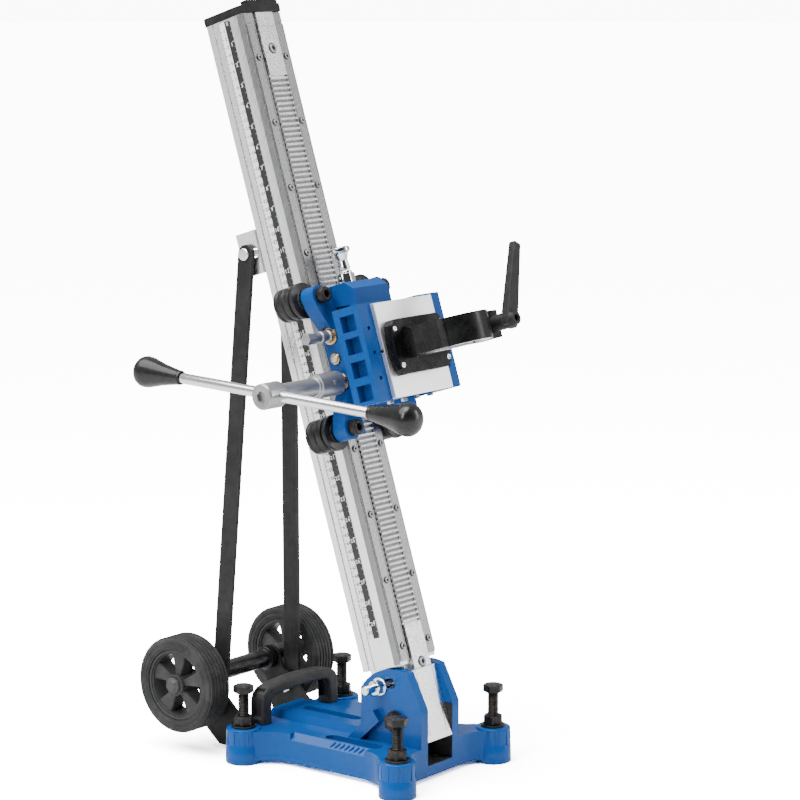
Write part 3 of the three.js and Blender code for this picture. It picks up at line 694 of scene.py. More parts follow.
@dataclass(frozen=True)
class Metal(Finish):
    """Bare or plated metal with fine drawing lines along one direction of the rig."""

    grain: tuple[float, float, float] = (900.0, 900.0, 12.0)
    tilt: float = 0.0
    lines: float = 0.06
    depth: float = 0.000004
    blotch: float = 0.05
    metallic: float = 1.0

    def draw(self, sheet: Sheet) -> None:
        """Lines are noise squeezed across and stretched along; smudges vary the shine."""
        lines = sheet.noise(1.0, 3.0, sheet.mapped(self.grain, self.tilt))
        smudge = sheet.noise(22.0, 5.0, roughness=0.65)
        tone = sheet.spread(smudge, 0.0, 1.0)
        colour = sheet.mixed(tone, shaded(self.colour, -self.blotch), shaded(self.colour, self.blotch))
        streak = sheet.spread(lines, 0.0, 1.0)
        sheet.use("Base Color", sheet.mixed(streak, shaded(self.colour, -self.lines), colour))
        low, high = self.roughness - self.lines * 0.8, self.roughness + self.lines * 1.2
        sheet.use("Roughness", sheet.spread(lines, max(0.03, low), high))
        sheet.use("Normal", sheet.bump(lines, self.depth))
        sheet.set(Metallic=self.metallic)


@dataclass(frozen=True)
class Print(Finish):
    """Printed tape: an even matt colour with a very fine tooth."""

    def draw(self, sheet: Sheet) -> None:
        """Ink density drifts slightly along the tape."""
        drift = sheet.spread(sheet.noise(60.0, 4.0), 0.0, 1.0)
        sheet.use("Base Color", sheet.mixed(drift, shaded(self.colour, -0.05), shaded(self.colour, 0.03)))
        tooth = sheet.noise(300.0, 3.0)
        sheet.use("Roughness", sheet.spread(tooth, self.roughness - 0.04, self.roughness + 0.06))
        sheet.use("Normal", sheet.bump(sheet.noise(2500.0, 2.0), 0.00001))


LEAN = math.radians(-17.463)
BASE_PAINT = Paint("base_blue_gloss", "base_paint", (0.0, 0.061, 0.260), 0.22, gloss=0.12)
CARRIAGE_PAINT = Paint("carriage_blue_satin", "carriage_paint", (0.0, 0.054, 0.232), 0.34, gloss=0.05,
                       peel=0.00001)
# Partly bare cast metal, partly painted shade: the channel's inside is drawn near-black for the shade deep in it.
BARE_CAST_AND_SHADE = Moulded("channel_bare_cast_and_shade", "base_paint", (0.020, 0.019, 0.018), 0.60, dust=0.3)
HARDWARE = Oxide("black_hardware_oxide", "black_hardware", (0.008, 0.008, 0.0085), 0.34)
BOLT_HEADS = Oxide("dark_bolt_oxide", "dark_bolt", (0.010, 0.009, 0.008), 0.40, tint=(0.022, 0.015, 0.011))
HANDLE = Moulded("handle_grained_plastic", "handle_plastic", (0.021, 0.021, 0.0215), 0.50)
POWDER = Moulded("black_powder_coat", "black_frame", (0.0135, 0.0135, 0.014), 0.50, grain=900.0, dust=0.1)
AXLE = Moulded("axle_black_gloss", "black_frame", (0.004, 0.004, 0.0045), 0.16, grain=500.0, depth=0.00001,
               dust=0.1, shine=0.4)
TYRE = Moulded("tyre_rubber_black", "tyre_rubber", (0.024, 0.024, 0.0245), 0.62, grain=1200.0, dust=0.6)
RIM = Moulded("rim_plastic_black", "rim_plastic", (0.034, 0.034, 0.035), 0.46, dust=0.35)
HUB = Moulded("hub_cap_grey_plastic", "hub_cap_plastic", (0.050, 0.051, 0.053), 0.46)
PLATED = Metal("plated_steel_bright", "plated_steel", (0.86, 0.865, 0.87), 0.22, grain=(500.0, 500.0, 500.0))
PROFILE = Metal("drawn_aluminium", "column_aluminium", (0.92, 0.925, 0.93), 0.27, tilt=LEAN, lines=0.07,
                blotch=0.03)
RACK = Metal("ground_rack_steel", "rack_steel", (0.92, 0.922, 0.928), 0.24, tilt=LEAN, lines=0.10)
# Painted shade: the bevels on the column's front corners are drawn dark grey to stand for the shade that falls on
# them.
BEVEL = Metal("bevel_painted_shade_aluminium", "column_aluminium", (0.27, 0.275, 0.28), 0.36, tilt=LEAN, lines=0.12)
ROOT = Metal("rack_root_shade", "rack_steel", (0.20, 0.20, 0.205), 0.40, tilt=LEAN)
# Painted shade: near-black for the shade in the seams between the column's parts, round the screw heads and in their
# sockets.
RECESS_SHADE = Moulded("recess_painted_shade", "column_aluminium", (0.015, 0.015, 0.016), 0.5)
CAP = Moulded("cap_black_plastic", "cap_plastic", (0.008, 0.008, 0.0085), 0.50)
TAPE = Print("scale_tape_white", "scale_print", (0.86, 0.86, 0.85), 0.45)
TAPE_BLACK = Print("scale_tape_black", "scale_print", (0.008, 0.008, 0.009), 0.40)
INK = Print("scale_ink_black", "scale_print", (0.006, 0.006, 0.007), 0.45)
INK_WHITE = Print("scale_ink_white", "scale_print", (0.70, 0.70, 0.69), 0.45)
FACE = Metal("machined_pale_face", "face_plate_silver", (0.90, 0.905, 0.91), 0.42, grain=(25.0, 400.0, 400.0),
             tilt=LEAN, lines=0.03, blotch=0.02)
BRONZE = Metal("bushing_bronze", "bronze", (0.66, 0.42, 0.16), 0.26, grain=(300.0, 300.0, 300.0))
GEAR = Metal("machined_steel", "gear_steel", (0.52, 0.53, 0.54), 0.28, grain=(60.0, 500.0, 500.0))
ROLLER = Moulded("roller_black_satin", "roller_black", (0.007, 0.007, 0.0075), 0.30, grain=2200.0, dust=0.2,
                 shine=0.3)
CHROME = Metal("bright_chrome", "chrome", (0.80, 0.805, 0.815), 0.09, grain=(260.0, 260.0, 260.0), lines=0.03,
               depth=0.000001, blotch=0.02)
CRANK_CHROME = Metal("crank_bright_steel", "chrome", (0.86, 0.865, 0.87), 0.17, grain=(500.0, 30.0, 500.0),
                     lines=0.05, depth=0.000002)
HUB_STEEL = Metal("crank_hub_steel", "chrome", (0.34, 0.34, 0.345), 0.34, grain=(30.0, 500.0, 500.0),
                  lines=0.10, metallic=0.75)
SCREW = Metal("screw_steel", "plated_steel", (0.30, 0.30, 0.31), 0.30, grain=(400.0, 400.0, 400.0))
STRIP = Metal("guide_strip_steel", "rack_steel", (0.34, 0.34, 0.343), 0.28, tilt=LEAN, lines=0.05)
GRIP = Moulded("grip_black_gloss", "grip_plastic", (0.006, 0.006, 0.0065), 0.22, grain=600.0,
               depth=0.000012, dust=0.1, shine=0.35)
COLLAR = Moulded("collar_black_coat", "collar_black", (0.003, 0.003, 0.0034), 0.28, grain=800.0,
                 depth=0.00002, dust=0.1)
BORE = Metal("machined_bore", "collar_black", (0.86, 0.865, 0.87), 0.20, grain=(60.0, 60.0, 900.0), tilt=LEAN)
LEVER = Moulded("lever_black_matt", "lever_black", (0.008, 0.008, 0.0085), 0.45, dust=0.2)


# ---------------------------------------------------------------- pieces


def make_mesh(name: str, surface: Surface, sharp: float = 32.0) -> bpy.types.Mesh:
    """A mesh from a surface, its faces turned outwards and its sharp edges marked.

    Args:
        name: the mesh's name.
        surface: points and faces in the row frame.
        sharp: edges steeper than this many degrees stay crisp.
    Returns:
        The mesh.
    """
    mesh = bpy.data.meshes.new(name)
    mesh.from_pydata(surface.points.tolist(), [], surface.faces)
    work = bmesh.new()
    work.from_mesh(mesh)
    bmesh.ops.remove_doubles(work, verts=work.verts, dist=1e-7)
    bmesh.ops.recalc_face_normals(work, faces=work.faces)
    work.to_mesh(mesh)
    work.free()
    mesh.polygons.foreach_set("use_smooth", np.ones(len(mesh.polygons), bool))
    mesh.set_sharp_from_angle(angle=math.radians(sharp))
    mesh.update()
    return mesh


def piece(name: str, parts: Surface | Sequence[Surface], finish: Finish, body: str,
          stands_for: Sequence[str] = (), sharp: float = 32.0) -> bpy.types.Object:
    """Adds one finished piece to the rig.

    Args:
        name: the piece's name.
        parts: the surface, or several to join.
        finish: what it is made of.
        body: the CAD body that it moves with.
        stands_for: the CAD nodes that it replaces.
        sharp: edges steeper than this many degrees stay crisp.
    Returns:
        The piece's object.
    """
    surface = parts if isinstance(parts, Surface) else Surface.joined(parts)
    made = bpy.data.objects.new(name, make_mesh(name, surface, sharp))
    bpy.context.scene.collection.objects.link(made)
    made.data.materials.append(finish.material())
    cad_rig.ride(made, body)
    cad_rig.slot(made, finish.slot)
    if stands_for:
        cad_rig.replaces(made, *stands_for)
    log.info("piece %s on %s: %d faces", name, body, len(made.data.polygons))
    return made


def softened(node: str, finish: Finish, width: float, segments: int = 3,
             angle: float = 30.0) -> bpy.types.Object:
    """A copy of a CAD node with its triangles merged into flats and its edges rounded.

    Args:
        node: the CAD node that the copy stands for.
        finish: what it is made of.
        width: the rounding in millimetres.
        segments: steps across each rounded edge.
        angle: edges steeper than this many degrees are rounded.
    Returns:
        The copy's object.
    """
    source = frame["nodes"][node].data
    points = np.zeros(len(source.vertices) * 3)
    source.vertices.foreach_get("co", points)
    corners = np.zeros(len(source.loops), int)
    source.loops.foreach_get("vertex_index", corners)
    unique, index = np.unique(np.round(points.reshape(-1, 3), 6), axis=0, return_inverse=True)
    triangles = index.reshape(-1)[corners].reshape(-1, 3)
    fair = (triangles[:, 0] != triangles[:, 1]) & (triangles[:, 1] != triangles[:, 2])
    fair &= triangles[:, 0] != triangles[:, 2]
    mesh = bpy.data.meshes.new(f"{node}_finished")
    mesh.from_pydata(unique.tolist(), [], triangles[fair].tolist())
    work = bmesh.new()
    work.from_mesh(mesh)
    bmesh.ops.dissolve_limit(work, angle_limit=math.radians(1.0), verts=work.verts, edges=work.edges)
    work.to_mesh(mesh)
    work.free()
    mesh.polygons.foreach_set("use_smooth", np.ones(len(mesh.polygons), bool))
    made = bpy.data.objects.new(f"{node}_finished", mesh)
    bpy.context.scene.collection.objects.link(made)
    bevel = made.modifiers.new("rounded_edges", "BEVEL")
    bevel.width = width * MM
    bevel.segments = segments
    bevel.limit_method = "ANGLE"
    bevel.angle_limit = math.radians(angle)
    bevel.harden_normals = True
    bevel.use_clamp_overlap = True
    made.data.materials.append(finish.material())
    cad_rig.ride(made, frame["nodes"][node]["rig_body"])
    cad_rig.slot(made, finish.slot)
    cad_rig.replaces(made, node)
    log.info("softened %s by %.2f mm", node, width)
    return made


def dressed(node: str, finish: Finish) -> None:
    """Gives a CAD node that is shown as it is its finish."""
    shown = frame["nodes"][node]
    shown.data.materials.clear()
    shown.data.materials.append(finish.material())
    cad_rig.slot(shown, finish.slot)
    log.info("dressed %s in %s", node, finish.name)


@dataclass
class Assembly:
    """A sub-assembly of the rig, placed by the drawing."""

    drawing: Drawing

    def build(self) -> None:
        """Builds the sub-assembly's pieces."""
        raise NotImplementedError


@dataclass
class Base(Assembly):
    """The cast base with its bosses, levelling screws, carry handle and pivot bolt."""

    screw_x: float = 94.45
    screw_y: float = 117.95
    boss_foot: float = 22.3
    boss_top: float = 21.4
    boss_height: float = 43.12
    flutes: int = 11
    flute_depth: float = 1.25
    handle_y: float = 116.0
    handle_half: float = 10.9
    pocket_half: float = 7.6
    pocket_depth: float = 6.0

    def corners(self) -> list[tuple[str, float, float]]:
        """Each corner's name and place."""
        places = [(-1, -1), (1, -1), (-1, 1), (1, 1)]
        return [(n, x * self.screw_x, y * self.screw_y) for n, (x, y) in zip(CORNERS, places)]

    def build(self) -> None:
        """Builds the base from its casting outwards."""
        softened("base_casting", BASE_PAINT, 1.3)
        for name, x, y in self.corners():
            piece(f"boss_{name}", self.boss(x, y), BASE_PAINT, "base", sharp=50)
            self.levelling(name, x, y)
        self.hatching()
        self.handle()
        self.channel()
        self.pivot_bolt()

    def boss(self, x: float, y: float) -> Surface:
        """A boss: radius = taper - groove where cos(n t / 2) is near one, in its upper half only."""
        top = self.boss_height
        heights = np.array([0.05, 0.05, 1.0, 8, 22.2, 22.6, 23.0, 23.6, 40.6, 41.2, 42.4, top, top])
        taper = np.interp(heights, [0, 8, 43], [self.boss_foot, self.boss_foot, self.boss_top])
        taper += np.array([-13.6, -0.9, 0, 0, 0, -0.25, -0.25, -0.2, -0.2, -0.2, -0.5, -1.5, 0])
        taper[-1] = 7.7
        share = np.array([0, 0, 0, 0, 0, 0, 0, 1, 1, 0.6, 0, 0, 0])
        angles = np.arange(264) * 2 * np.pi / 264
        groove = np.clip((np.abs(np.cos(self.flutes * angles / 2)) - 0.72) / 0.05, 0, 1)
        r = taper[:, None] - self.flute_depth * share[:, None] * groove[None]
        grid = [r * np.cos(angles), r * np.sin(angles), heights[:, None] + 0 * angles]
        local = np.stack(grid, axis=-1).reshape(-1, 3)
        return Surface(self.drawing.rig(x, y, 0).put(local), grid_faces(len(heights), 264, True))

    def levelling(self, name: str, x: float, y: float) -> None:
        """A levelling screw with its thread and head, and its lock nut with a washer."""
        place = self.drawing.rig(x, y, 0)
        tip = round_bar(place, [(2, 4.2), (4, 5.4), (6.5, 5.6)], 0.4, 32)
        screw = [
            tip,
            threaded_bar(place, 7.05, 6, 87, 2.0),
            hex_head(place, 11.0, 86.2, 95, phase=0.3),
            round_bar(place, [(85.4, 9.4), (86.3, 9.8)], 0.2, 40),
        ]
        piece(f"levelling_screw_{name}_turned", screw, HARDWARE, f"levelling_{name}",
              [f"levelling_screw_{name}"])
        nut = [
            collar_ring(place, 7.25, 14.9, 43.35, 45.8, 0.5, 48),
            self.nut(place, 10.65, 7.25, 45.8, 57.0),
        ]
        piece(f"lock_nut_{name}_turned", nut, HARDWARE, "base", [f"lock_nut_{name}"])

    def nut(self, place: Place, apothem: float, bore: float, low: float, high: float) -> Surface:
        """A chamfered nut with its bore open."""
        corner = apothem / math.cos(math.pi / 6)
        drop = (corner - apothem) * 0.6
        rings = [Ring(low, bore + 0.6), Ring(low, apothem * 0.97, apothem), Ring(low + drop, corner, apothem),
                 Ring(high - drop, corner, apothem), Ring(high - drop / 2, (corner + apothem) / 2, apothem),
                 Ring(high, apothem * 0.97, apothem), Ring(high, bore + 0.6), Ring(high - 0.6, bore),
                 Ring(low + 0.6, bore)]
        return turned(place, rings, 48, loop=True)

    def hatching(self) -> None:
        """Short slanted ribs on the long shoulders, under the side slots."""
        for name, side in SIDES:
            ribs = []
            for k in range(7):
                start = np.array([side * 71.4, -50 + 7.2 * k, 41.1])
                end = np.array([side * 76.9, -45.5 + 7.2 * k, 34.6])
                t = np.linspace(0, 1, 7)[:, None]
                path = self.drawing.rig(0, 0, 0).put(start + (end - start) * t)
                along = (end - start) / np.linalg.norm(end - start)
                out = np.array([side * 0.78, 0, 0.62])
                across = np.cross(along, out)
                swell = np.sin(np.linspace(0.25, np.pi - 0.25, 7))
                ribs.append(carried(path, np.tile(across, (7, 1)), np.tile(out, (7, 1)),
                                    1.25 * swell, 1.05 * swell, 2.2, 12))
            piece(f"shoulder_ribs_{name}", ribs, BASE_PAINT, "base")

    def handle(self) -> None:
        """The carry handle, between an outer and an inner outline, with a pocket in each leg's faces.

        The centre line is the mean of the two outlines and the section's half thickness is half
        their distance. Each pocket pushes the section's face inwards by a smooth window in height
        times a smooth window across the face.
        """
        outer = np.array([[73.4, 41.35], [73.4, 52], [73.4, 60], [73.4, 67], [72.6, 73.5], [69.4, 80],
                          [63, 84.8], [54, 87.1], [42, 88.7], [22, 90.3], [0, 90.9]])
        inner = np.array([[54.6, 41.35], [54.6, 52], [54.6, 58], [54.3, 63.4], [53.3, 67.6], [51.6, 70.8],
                          [48.6, 73], [45, 74], [38, 74.8], [20, 76], [0, 76.4]])
        steps = np.linspace(0, len(outer) - 1, 96)
        knots = np.arange(len(outer))
        sides = [np.stack([np.interp(steps, knots, line[:, k]) for k in (0, 1)], axis=-1)
                 for line in (outer, inner)]
        kernel = np.array([1, 2, 3, 2, 1]) / 9
        sides = [np.stack([np.convolve(np.pad(line[:, k], 2, "edge"), kernel, "valid") for k in (0, 1)],
                          axis=-1) for line in sides]
        mirror = np.array([-1, 1])
        sides = [np.concatenate([line, (line * mirror)[-2::-1]]) for line in sides]
        middle, reach = (sides[0] + sides[1]) / 2, (sides[0] - sides[1]) / 2
        half = np.linalg.norm(reach, axis=1)
        way = reach / half[:, None]
        c, s = rounded_section(96, 4.6)
        window = np.clip(self.pocket_half - np.abs(self.handle_half * s), 0, 1)
        height = np.clip(np.minimum(middle[:, 1] - 48, 79.5 - middle[:, 1]) / 1.6, 0, 1)
        height *= np.abs(middle[:, 0]) > 44
        push = self.pocket_depth * height[:, None] * window[None] * (np.abs(c) > 0.8) * np.sign(c)[None]
        out = half[:, None] * c[None] - push
        x = middle[:, :1] + way[:, :1] * out
        z = middle[:, 1:] + way[:, 1:] * out
        y = self.handle_y + self.handle_half * s[None] + 0 * x
        local = np.stack([x, y, z], axis=-1).reshape(-1, 3)
        arch = Surface(self.drawing.rig(0, 0, 0).put(local), closed_faces(len(middle), 96))
        piece("carry_handle_moulded", arch, HANDLE, "base", ["carry_handle"], sharp=48)

    def channel(self) -> None:
        """Dark sheets inside the channel between the ears, for its bare metal and for painted shade: side walls, floor
        and back.
        """
        middles = np.array([[-23.93, -72.4, 51.6], [23.93, -72.4, 51.6], [0, -72.4, 18.08], [0, -34.1, 29.5]])
        sizes = np.array([[0.1, 72.6, 67], [0.1, 72.6, 67], [47.7, 72.6, 0.1], [47.7, 0.12, 22.6]])
        piece("channel_lining", plates(self.drawing.rig(0, 0, 0), middles, sizes), BARE_CAST_AND_SHADE, "base")

    def pivot_bolt(self) -> None:
        """The bolt that the column tilts about."""
        place = self.drawing.rig(0, -70.5, 70, Line.ACROSS)
        parts = [
            round_bar(place, [(-43.5, 6.9), (43, 6.9)], 0.4, 40),
            hex_head(place, 10.2, -46.9, -39.4, phase=0.2),
            hex_head(place, 10.2, 39.4, 46.9, phase=0.2),
            collar_ring(place, 7, 12.6, -39.6, -37.35, 0.3, 48),
            collar_ring(place, 7, 12.6, 37.35, 39.6, 0.3, 48),
        ]
        piece("tilt_pivot_bolt_turned", parts, HARDWARE, "base", ["tilt_pivot_bolt"])


@dataclass
class Running(Assembly):
    """The axle, its brackets, the two wheels and the struts."""

    wheel_x: float = 101.0
    wheel_y: float = 208.0
    wheel_z: float = 85.0
    tyre_radius: float = 59.5
    rim_radius: float = 43.6
    spokes: int = 5

    def build(self) -> None:
        """Builds the running gear."""
        self.axle()
        for name, side in SIDES:
            softened(f"axle_bracket_{name}", POWDER, 0.7)
            softened(f"strut_{name}", POWDER, 0.8)
            self.wheel(name, side)
            self.foot_bolt(name, side)
        self.top_pin()

    def axle(self) -> None:
        """The axle: thin ends, a thick middle tube and a collar near each bracket."""
        place = self.drawing.rig(0, self.wheel_y, self.wheel_z, Line.ACROSS)
        half = [(0, 11.4), (30, 11.4), (47.6, 11.4), (48.4, 14.9), (59.9, 14.9), (60.1, 6.0), (124.4, 6.0)]
        profile = [(-h, r) for h, r in reversed(half[1:])] + half[1:]
        parts = [
            round_bar(place, profile, 0.6, 48),
            socket_screw(self.drawing.rig(-30, self.wheel_y, self.wheel_z, Line.RIG_Y).moved(0, 0, -11.6),
                         2.61, 0.8),
        ]
        piece("wheel_axle_turned", parts, AXLE, "base", ["wheel_axle"])

    def wheel(self, name: str, side: int) -> None:
        """A solid tyre on a five-spoke plastic rim."""
        place = self.drawing.rig(side * self.wheel_x, self.wheel_y, self.wheel_z, Line.ACROSS)
        piece(f"tyre_{name}_tread", self.tyre(place), TYRE, f"wheel_{name}", [f"tyre_{name}"], sharp=40)
        rim = [
            collar_ring(place, 40.4, self.rim_radius, -16.2, 16.2, 0.6, 96),
            collar_ring(place, 38.6, 41.0, -14.2, 14.2, 0.7, 96),
            self.hub(place),
            *[self.spoke(place.turned(360 / self.spokes * k)) for k in range(self.spokes)],
        ]
        piece(f"wheel_rim_{name}_moulded", rim, RIM, f"wheel_{name}", [f"wheel_rim_{name}"])
        cap_place = self.drawing.rig(0, self.wheel_y, self.wheel_z, Line.ACROSS)
        low, high = 120.35, 127.0
        facets = [(low, 10.2), (low + 3.0, 10.2), (high - 1.0, 7.4), (high, 6.4)]
        flats = [Ring(h, r * 1.04, r * 0.955, 9) for h, r in facets]
        rings = [Ring(low, 0.01), *flats, Ring(high, 0.01)]
        if side < 0:
            rings = [Ring(-ring.height, ring.radius, ring.apothem, ring.flats) for ring in rings]
        cap = turned(cap_place, rings, 54)
        piece(f"hub_cap_{name}_faceted", cap, HUB, "base", [f"hub_cap_{name}"], sharp=15)

    def tyre(self, place: Place) -> Surface:
        """The tyre: six tread ribs, and side walls with two raised rings."""
        tread = []
        for k in range(6):
            middle = -14.0 + 5.6 * k
            crown = [(middle - 1.7, self.tyre_radius), (middle + 1.7, self.tyre_radius)]
            tread += [(middle - 2.1, 57.7), *crown, (middle + 2.1, 57.7)]
        wall = [(18.0, 57.2), (18.9, 55.0), (18.9, 52.4), (18.3, 51.8), (18.3, 50.6), (18.9, 50.0),
                (18.9, 47.2), (18.0, 46.4), (17.4, 44.0)]
        other = [(-h, r) for h, r in reversed(wall)]
        rings = eased([*other, *tread, *wall, other[0]], 0.35, 2)[:-1]
        return turned(place, rings, 120, loop=True)

    def hub(self, place: Place) -> Surface:
        """The hub tube with a raised lip at both ends."""
        around = [(0, 11.6), (15.2, 11.6), (16, 13.2), (18.4, 13.2), (18.4, 6.2), (-18.4, 6.2),
                  (-18.4, 13.2), (-16, 13.2), (-15.2, 11.6), (0, 11.6)]
        return turned(place, eased(around, 0.4)[:-1], 64, loop=True)

    def spoke(self, place: Place) -> Surface:
        """A fan-shaped spoke: half width = radius * tan(spread), which opens towards the rim."""
        r = np.array([10.6, 13, 18, 24, 30, 35, 38, 40.2])
        half = r * np.tan(np.radians(np.interp(r, [10, 20, 40], [21, 17.5, 17.0])))
        local = np.stack([0 * r, r, 0 * r], axis=-1)
        first, second = np.tile(place.axes[0], (len(r), 1)), np.tile(place.axes[2], (len(r), 1))
        deep = np.interp(r, [10, 18, 34, 40], [12.5, 10.5, 10.5, 12.5])
        return carried(place.put(local), first, second, half, deep, 9.0, 40)

    def foot_bolt(self, name: str, side: int) -> None:
        """The bolt that a strut turns on, through its bracket."""
        axes = self.drawing.rig(0, 179, 52, Line.ACROSS)
        place = axes if side > 0 else Place(axes.origin, axes.axes * np.array([[1], [1], [-1]]))
        parts = [
            round_bar(place, [(57, 4.9), (77, 4.9)], 0.3, 32),
            hex_head(place, 7.4, 54.1, 60.1),
            collar_ring(place, 5, 7.5, 65.0, 66.9, 0.2, 32),
            hex_head(place, 7.4, 74.9, 80.4, phase=0.4),
        ]
        piece(f"strut_foot_bolt_{name}_turned", parts, PLATED, "base", [f"strut_foot_bolt_{name}"])

    def top_pin(self) -> None:
        """The bright pin that holds both struts to the saddle."""
        place = self.drawing.rig(0, 155, 611, Line.ACROSS)
        profile = [(-45.9, 6.3), (-45.2, 7.4), (-42.5, 7.45), (-42.3, 4.0), (42.3, 4.0), (42.5, 7.45),
                   (45.2, 7.4), (45.9, 6.3)]
        piece("strut_top_pin_turned", round_bar(place, profile, 0.3, 40), PLATED, "struts", ["strut_top_pin"])


@dataclass
class Column(Assembly):
    """The leaning column: its profile, foot, rack, guide strips, scale, cap and saddle."""

    half: float = 35.0
    inch: float = 25.4
    zero: float = 941.0
    inches: int = 30
    scale_length: float = 758.0
    screw_x: float = 24.9
    screw_pitch: float = 80.0
    screw_top: float = 887.7
    module: float = 2.0

    def build(self) -> None:
        """Builds the column from its profile outwards."""
        softened("column_extrusion", PROFILE, 0.35, 2)
        softened("column_foot", PROFILE, 0.8)
        softened("rack_bar", RACK, 0.22, 2)
        softened("column_cap", CAP, 1.3)
        softened("strut_saddle", PROFILE, 0.8)
        for name, _ in SIDES:
            softened(f"guide_strip_{name}", STRIP, 0.4, 2)
        dressed("scale_strip", TAPE)
        self.clamp_bolt()
        self.bevels()
        self.front()
        self.screws()
        self.scale()

    def clamp_bolt(self) -> None:
        """The bolt that locks the tilt: hexagons, washers and a long plain end on the crank's side."""
        low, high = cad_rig.box("tilt_clamp_bolt")
        middle = np.array([(low[k] + high[k]) / 2 for k in range(3)])
        axes = self.drawing.column(0, 0, 0, Line.ACROSS).axes
        place = Place(np.array([self.drawing.origin[0], middle[1], middle[2]]), axes)
        parts = [
            round_bar(place, [(-67.8, 4.6), (-66.9, 5.4), (46, 5.4)], 0.4, 40),
            hex_head(place, 8.4, -50, -40.2, phase=0.5),
            collar_ring(place, 5.4, 10.7, -40.1, -37.35, 0.4, 48),
            collar_ring(place, 5.4, 10.7, 37.35, 40.1, 0.4, 48),
            hex_head(place, 8.4, 40.2, 48, phase=0.5),
        ]
        piece("tilt_clamp_bolt_turned", parts, CHROME, "column", ["tilt_clamp_bolt"])

    def bevels(self) -> None:
        """Painted shade along the bevels of both front corners: a thin dark satin strip of section carried up the
        column.
        """
        bands = []
        for _, side in SIDES:
            line = np.array([[35.02, 13.4], [33.45, 7.2], [33.42, 5.2]])
            offset = np.array([[0.10, 0.0], [0.09, -0.03], [0.1, 0.0]])
            ring = np.concatenate([line, (line + offset)[::-1]])
            section = np.stack([side * ring[:, 0], ring[:, 1], 0 * ring[:, 0]], axis=-1)
            ends = [self.drawing.column(0, 0, s).put(section) for s in (147.0, 942.5)]
            bands.append(Surface(np.concatenate(ends), closed_faces(2, len(ring))))
        piece("column_bevel_shades", bands, BEVEL, "column")

    def front(self) -> None:
        """The column's front: shaded tooth gaps, the plates above the rack, and painted shade along the seams."""
        place = self.drawing.column(0, 0, 0)
        gaps = self.drawing.crank_length + np.arange(-46, 60) * math.pi * self.module
        middles = np.stack([0 * gaps, 0 * gaps + 3.55, gaps], axis=-1)
        roots = plates(place, middles, np.tile([31.0, 0.4, 1.9], (len(gaps), 1)))
        piece("rack_roots", roots, ROOT, "column")
        ends = plates(place, np.array([[0, 4.0, 933.9]]), np.array([[31.2, 7.8, 17.2]]))
        piece("rack_end_plate", ends, RACK, "column")
        sides = np.array([[side * 24.7, 3.95, 936.4] for _, side in SIDES])
        piece("guide_end_plates", plates(place, sides, np.tile([16.4, 1.7, 12.2], (2, 1))), STRIP, "column")
        # Dark strips painted over the seams between the profile, the guide strips and the rack, standing for the shade
        # in their gaps.
        seams = []
        sizes = np.array([[1.3, 0.4, 776], [1.0, 0.4, 776], [0.5, 0.2, 776]])
        for _, side in SIDES:
            middles = np.array([[side * 16.5, 3.1, 0], [side * 32.9, 3.1, 0], [side * 19.4, 3.06, 0]])
            seams.append(plates(self.drawing.column(0, 0, 540), middles, sizes))
        foot = np.array([[x, 0.42, 96.0] for x in (-19.6, -15.9, 15.9)])
        seams.append(plates(place, foot, np.tile([0.5, 0.12, 80.0], (3, 1))))
        piece("column_seam_shades", seams, RECESS_SHADE, "column")

    def screws(self) -> None:
        """The cap screws of both guide strips and the two large ones that hold the rack, with painted shade round
        their heads and in their sockets.
        """
        small, screw_shades = [], []
        for _, side in SIDES:
            for k in range(10):
                length = self.screw_top - self.screw_pitch * k
                front = self.drawing.column(side * self.screw_x, 3.05, length, Line.DEPTH).reversed()
                small.append(socket_screw(front, 3.4, 2.4))
                # Painted shade: a dark ring round each head, and a dark hexagon inside its socket.
                screw_shades.append(collar_ring(front, 3.3, 4.3, 0.05, 0.22, 0.05, 24))
                screw_shades.append(round_bar(front, [(0.75, 1.9), (1.6, 1.9)], 0.1, 6))
        large = []
        for length in (897.7, 143.6):
            front = self.drawing.column(0, 0, length, Line.DEPTH).reversed()
            large.append(socket_screw(front, 5.6, 2.2, 36))
            # Painted shade: a dark ring round each head, and a dark hexagon inside its socket.
            screw_shades.append(collar_ring(front, 5.5, 6.7, 0.05, 0.25, 0.05, 36))
            screw_shades.append(round_bar(front, [(0.7, 3.1), (1.5, 3.1)], 0.1, 6))
        piece("guide_screws", small, SCREW, "column")
        piece("rack_screws", large, SCREW, "column")
        piece("screw_shadow_rings", screw_shades, RECESS_SHADE, "column")

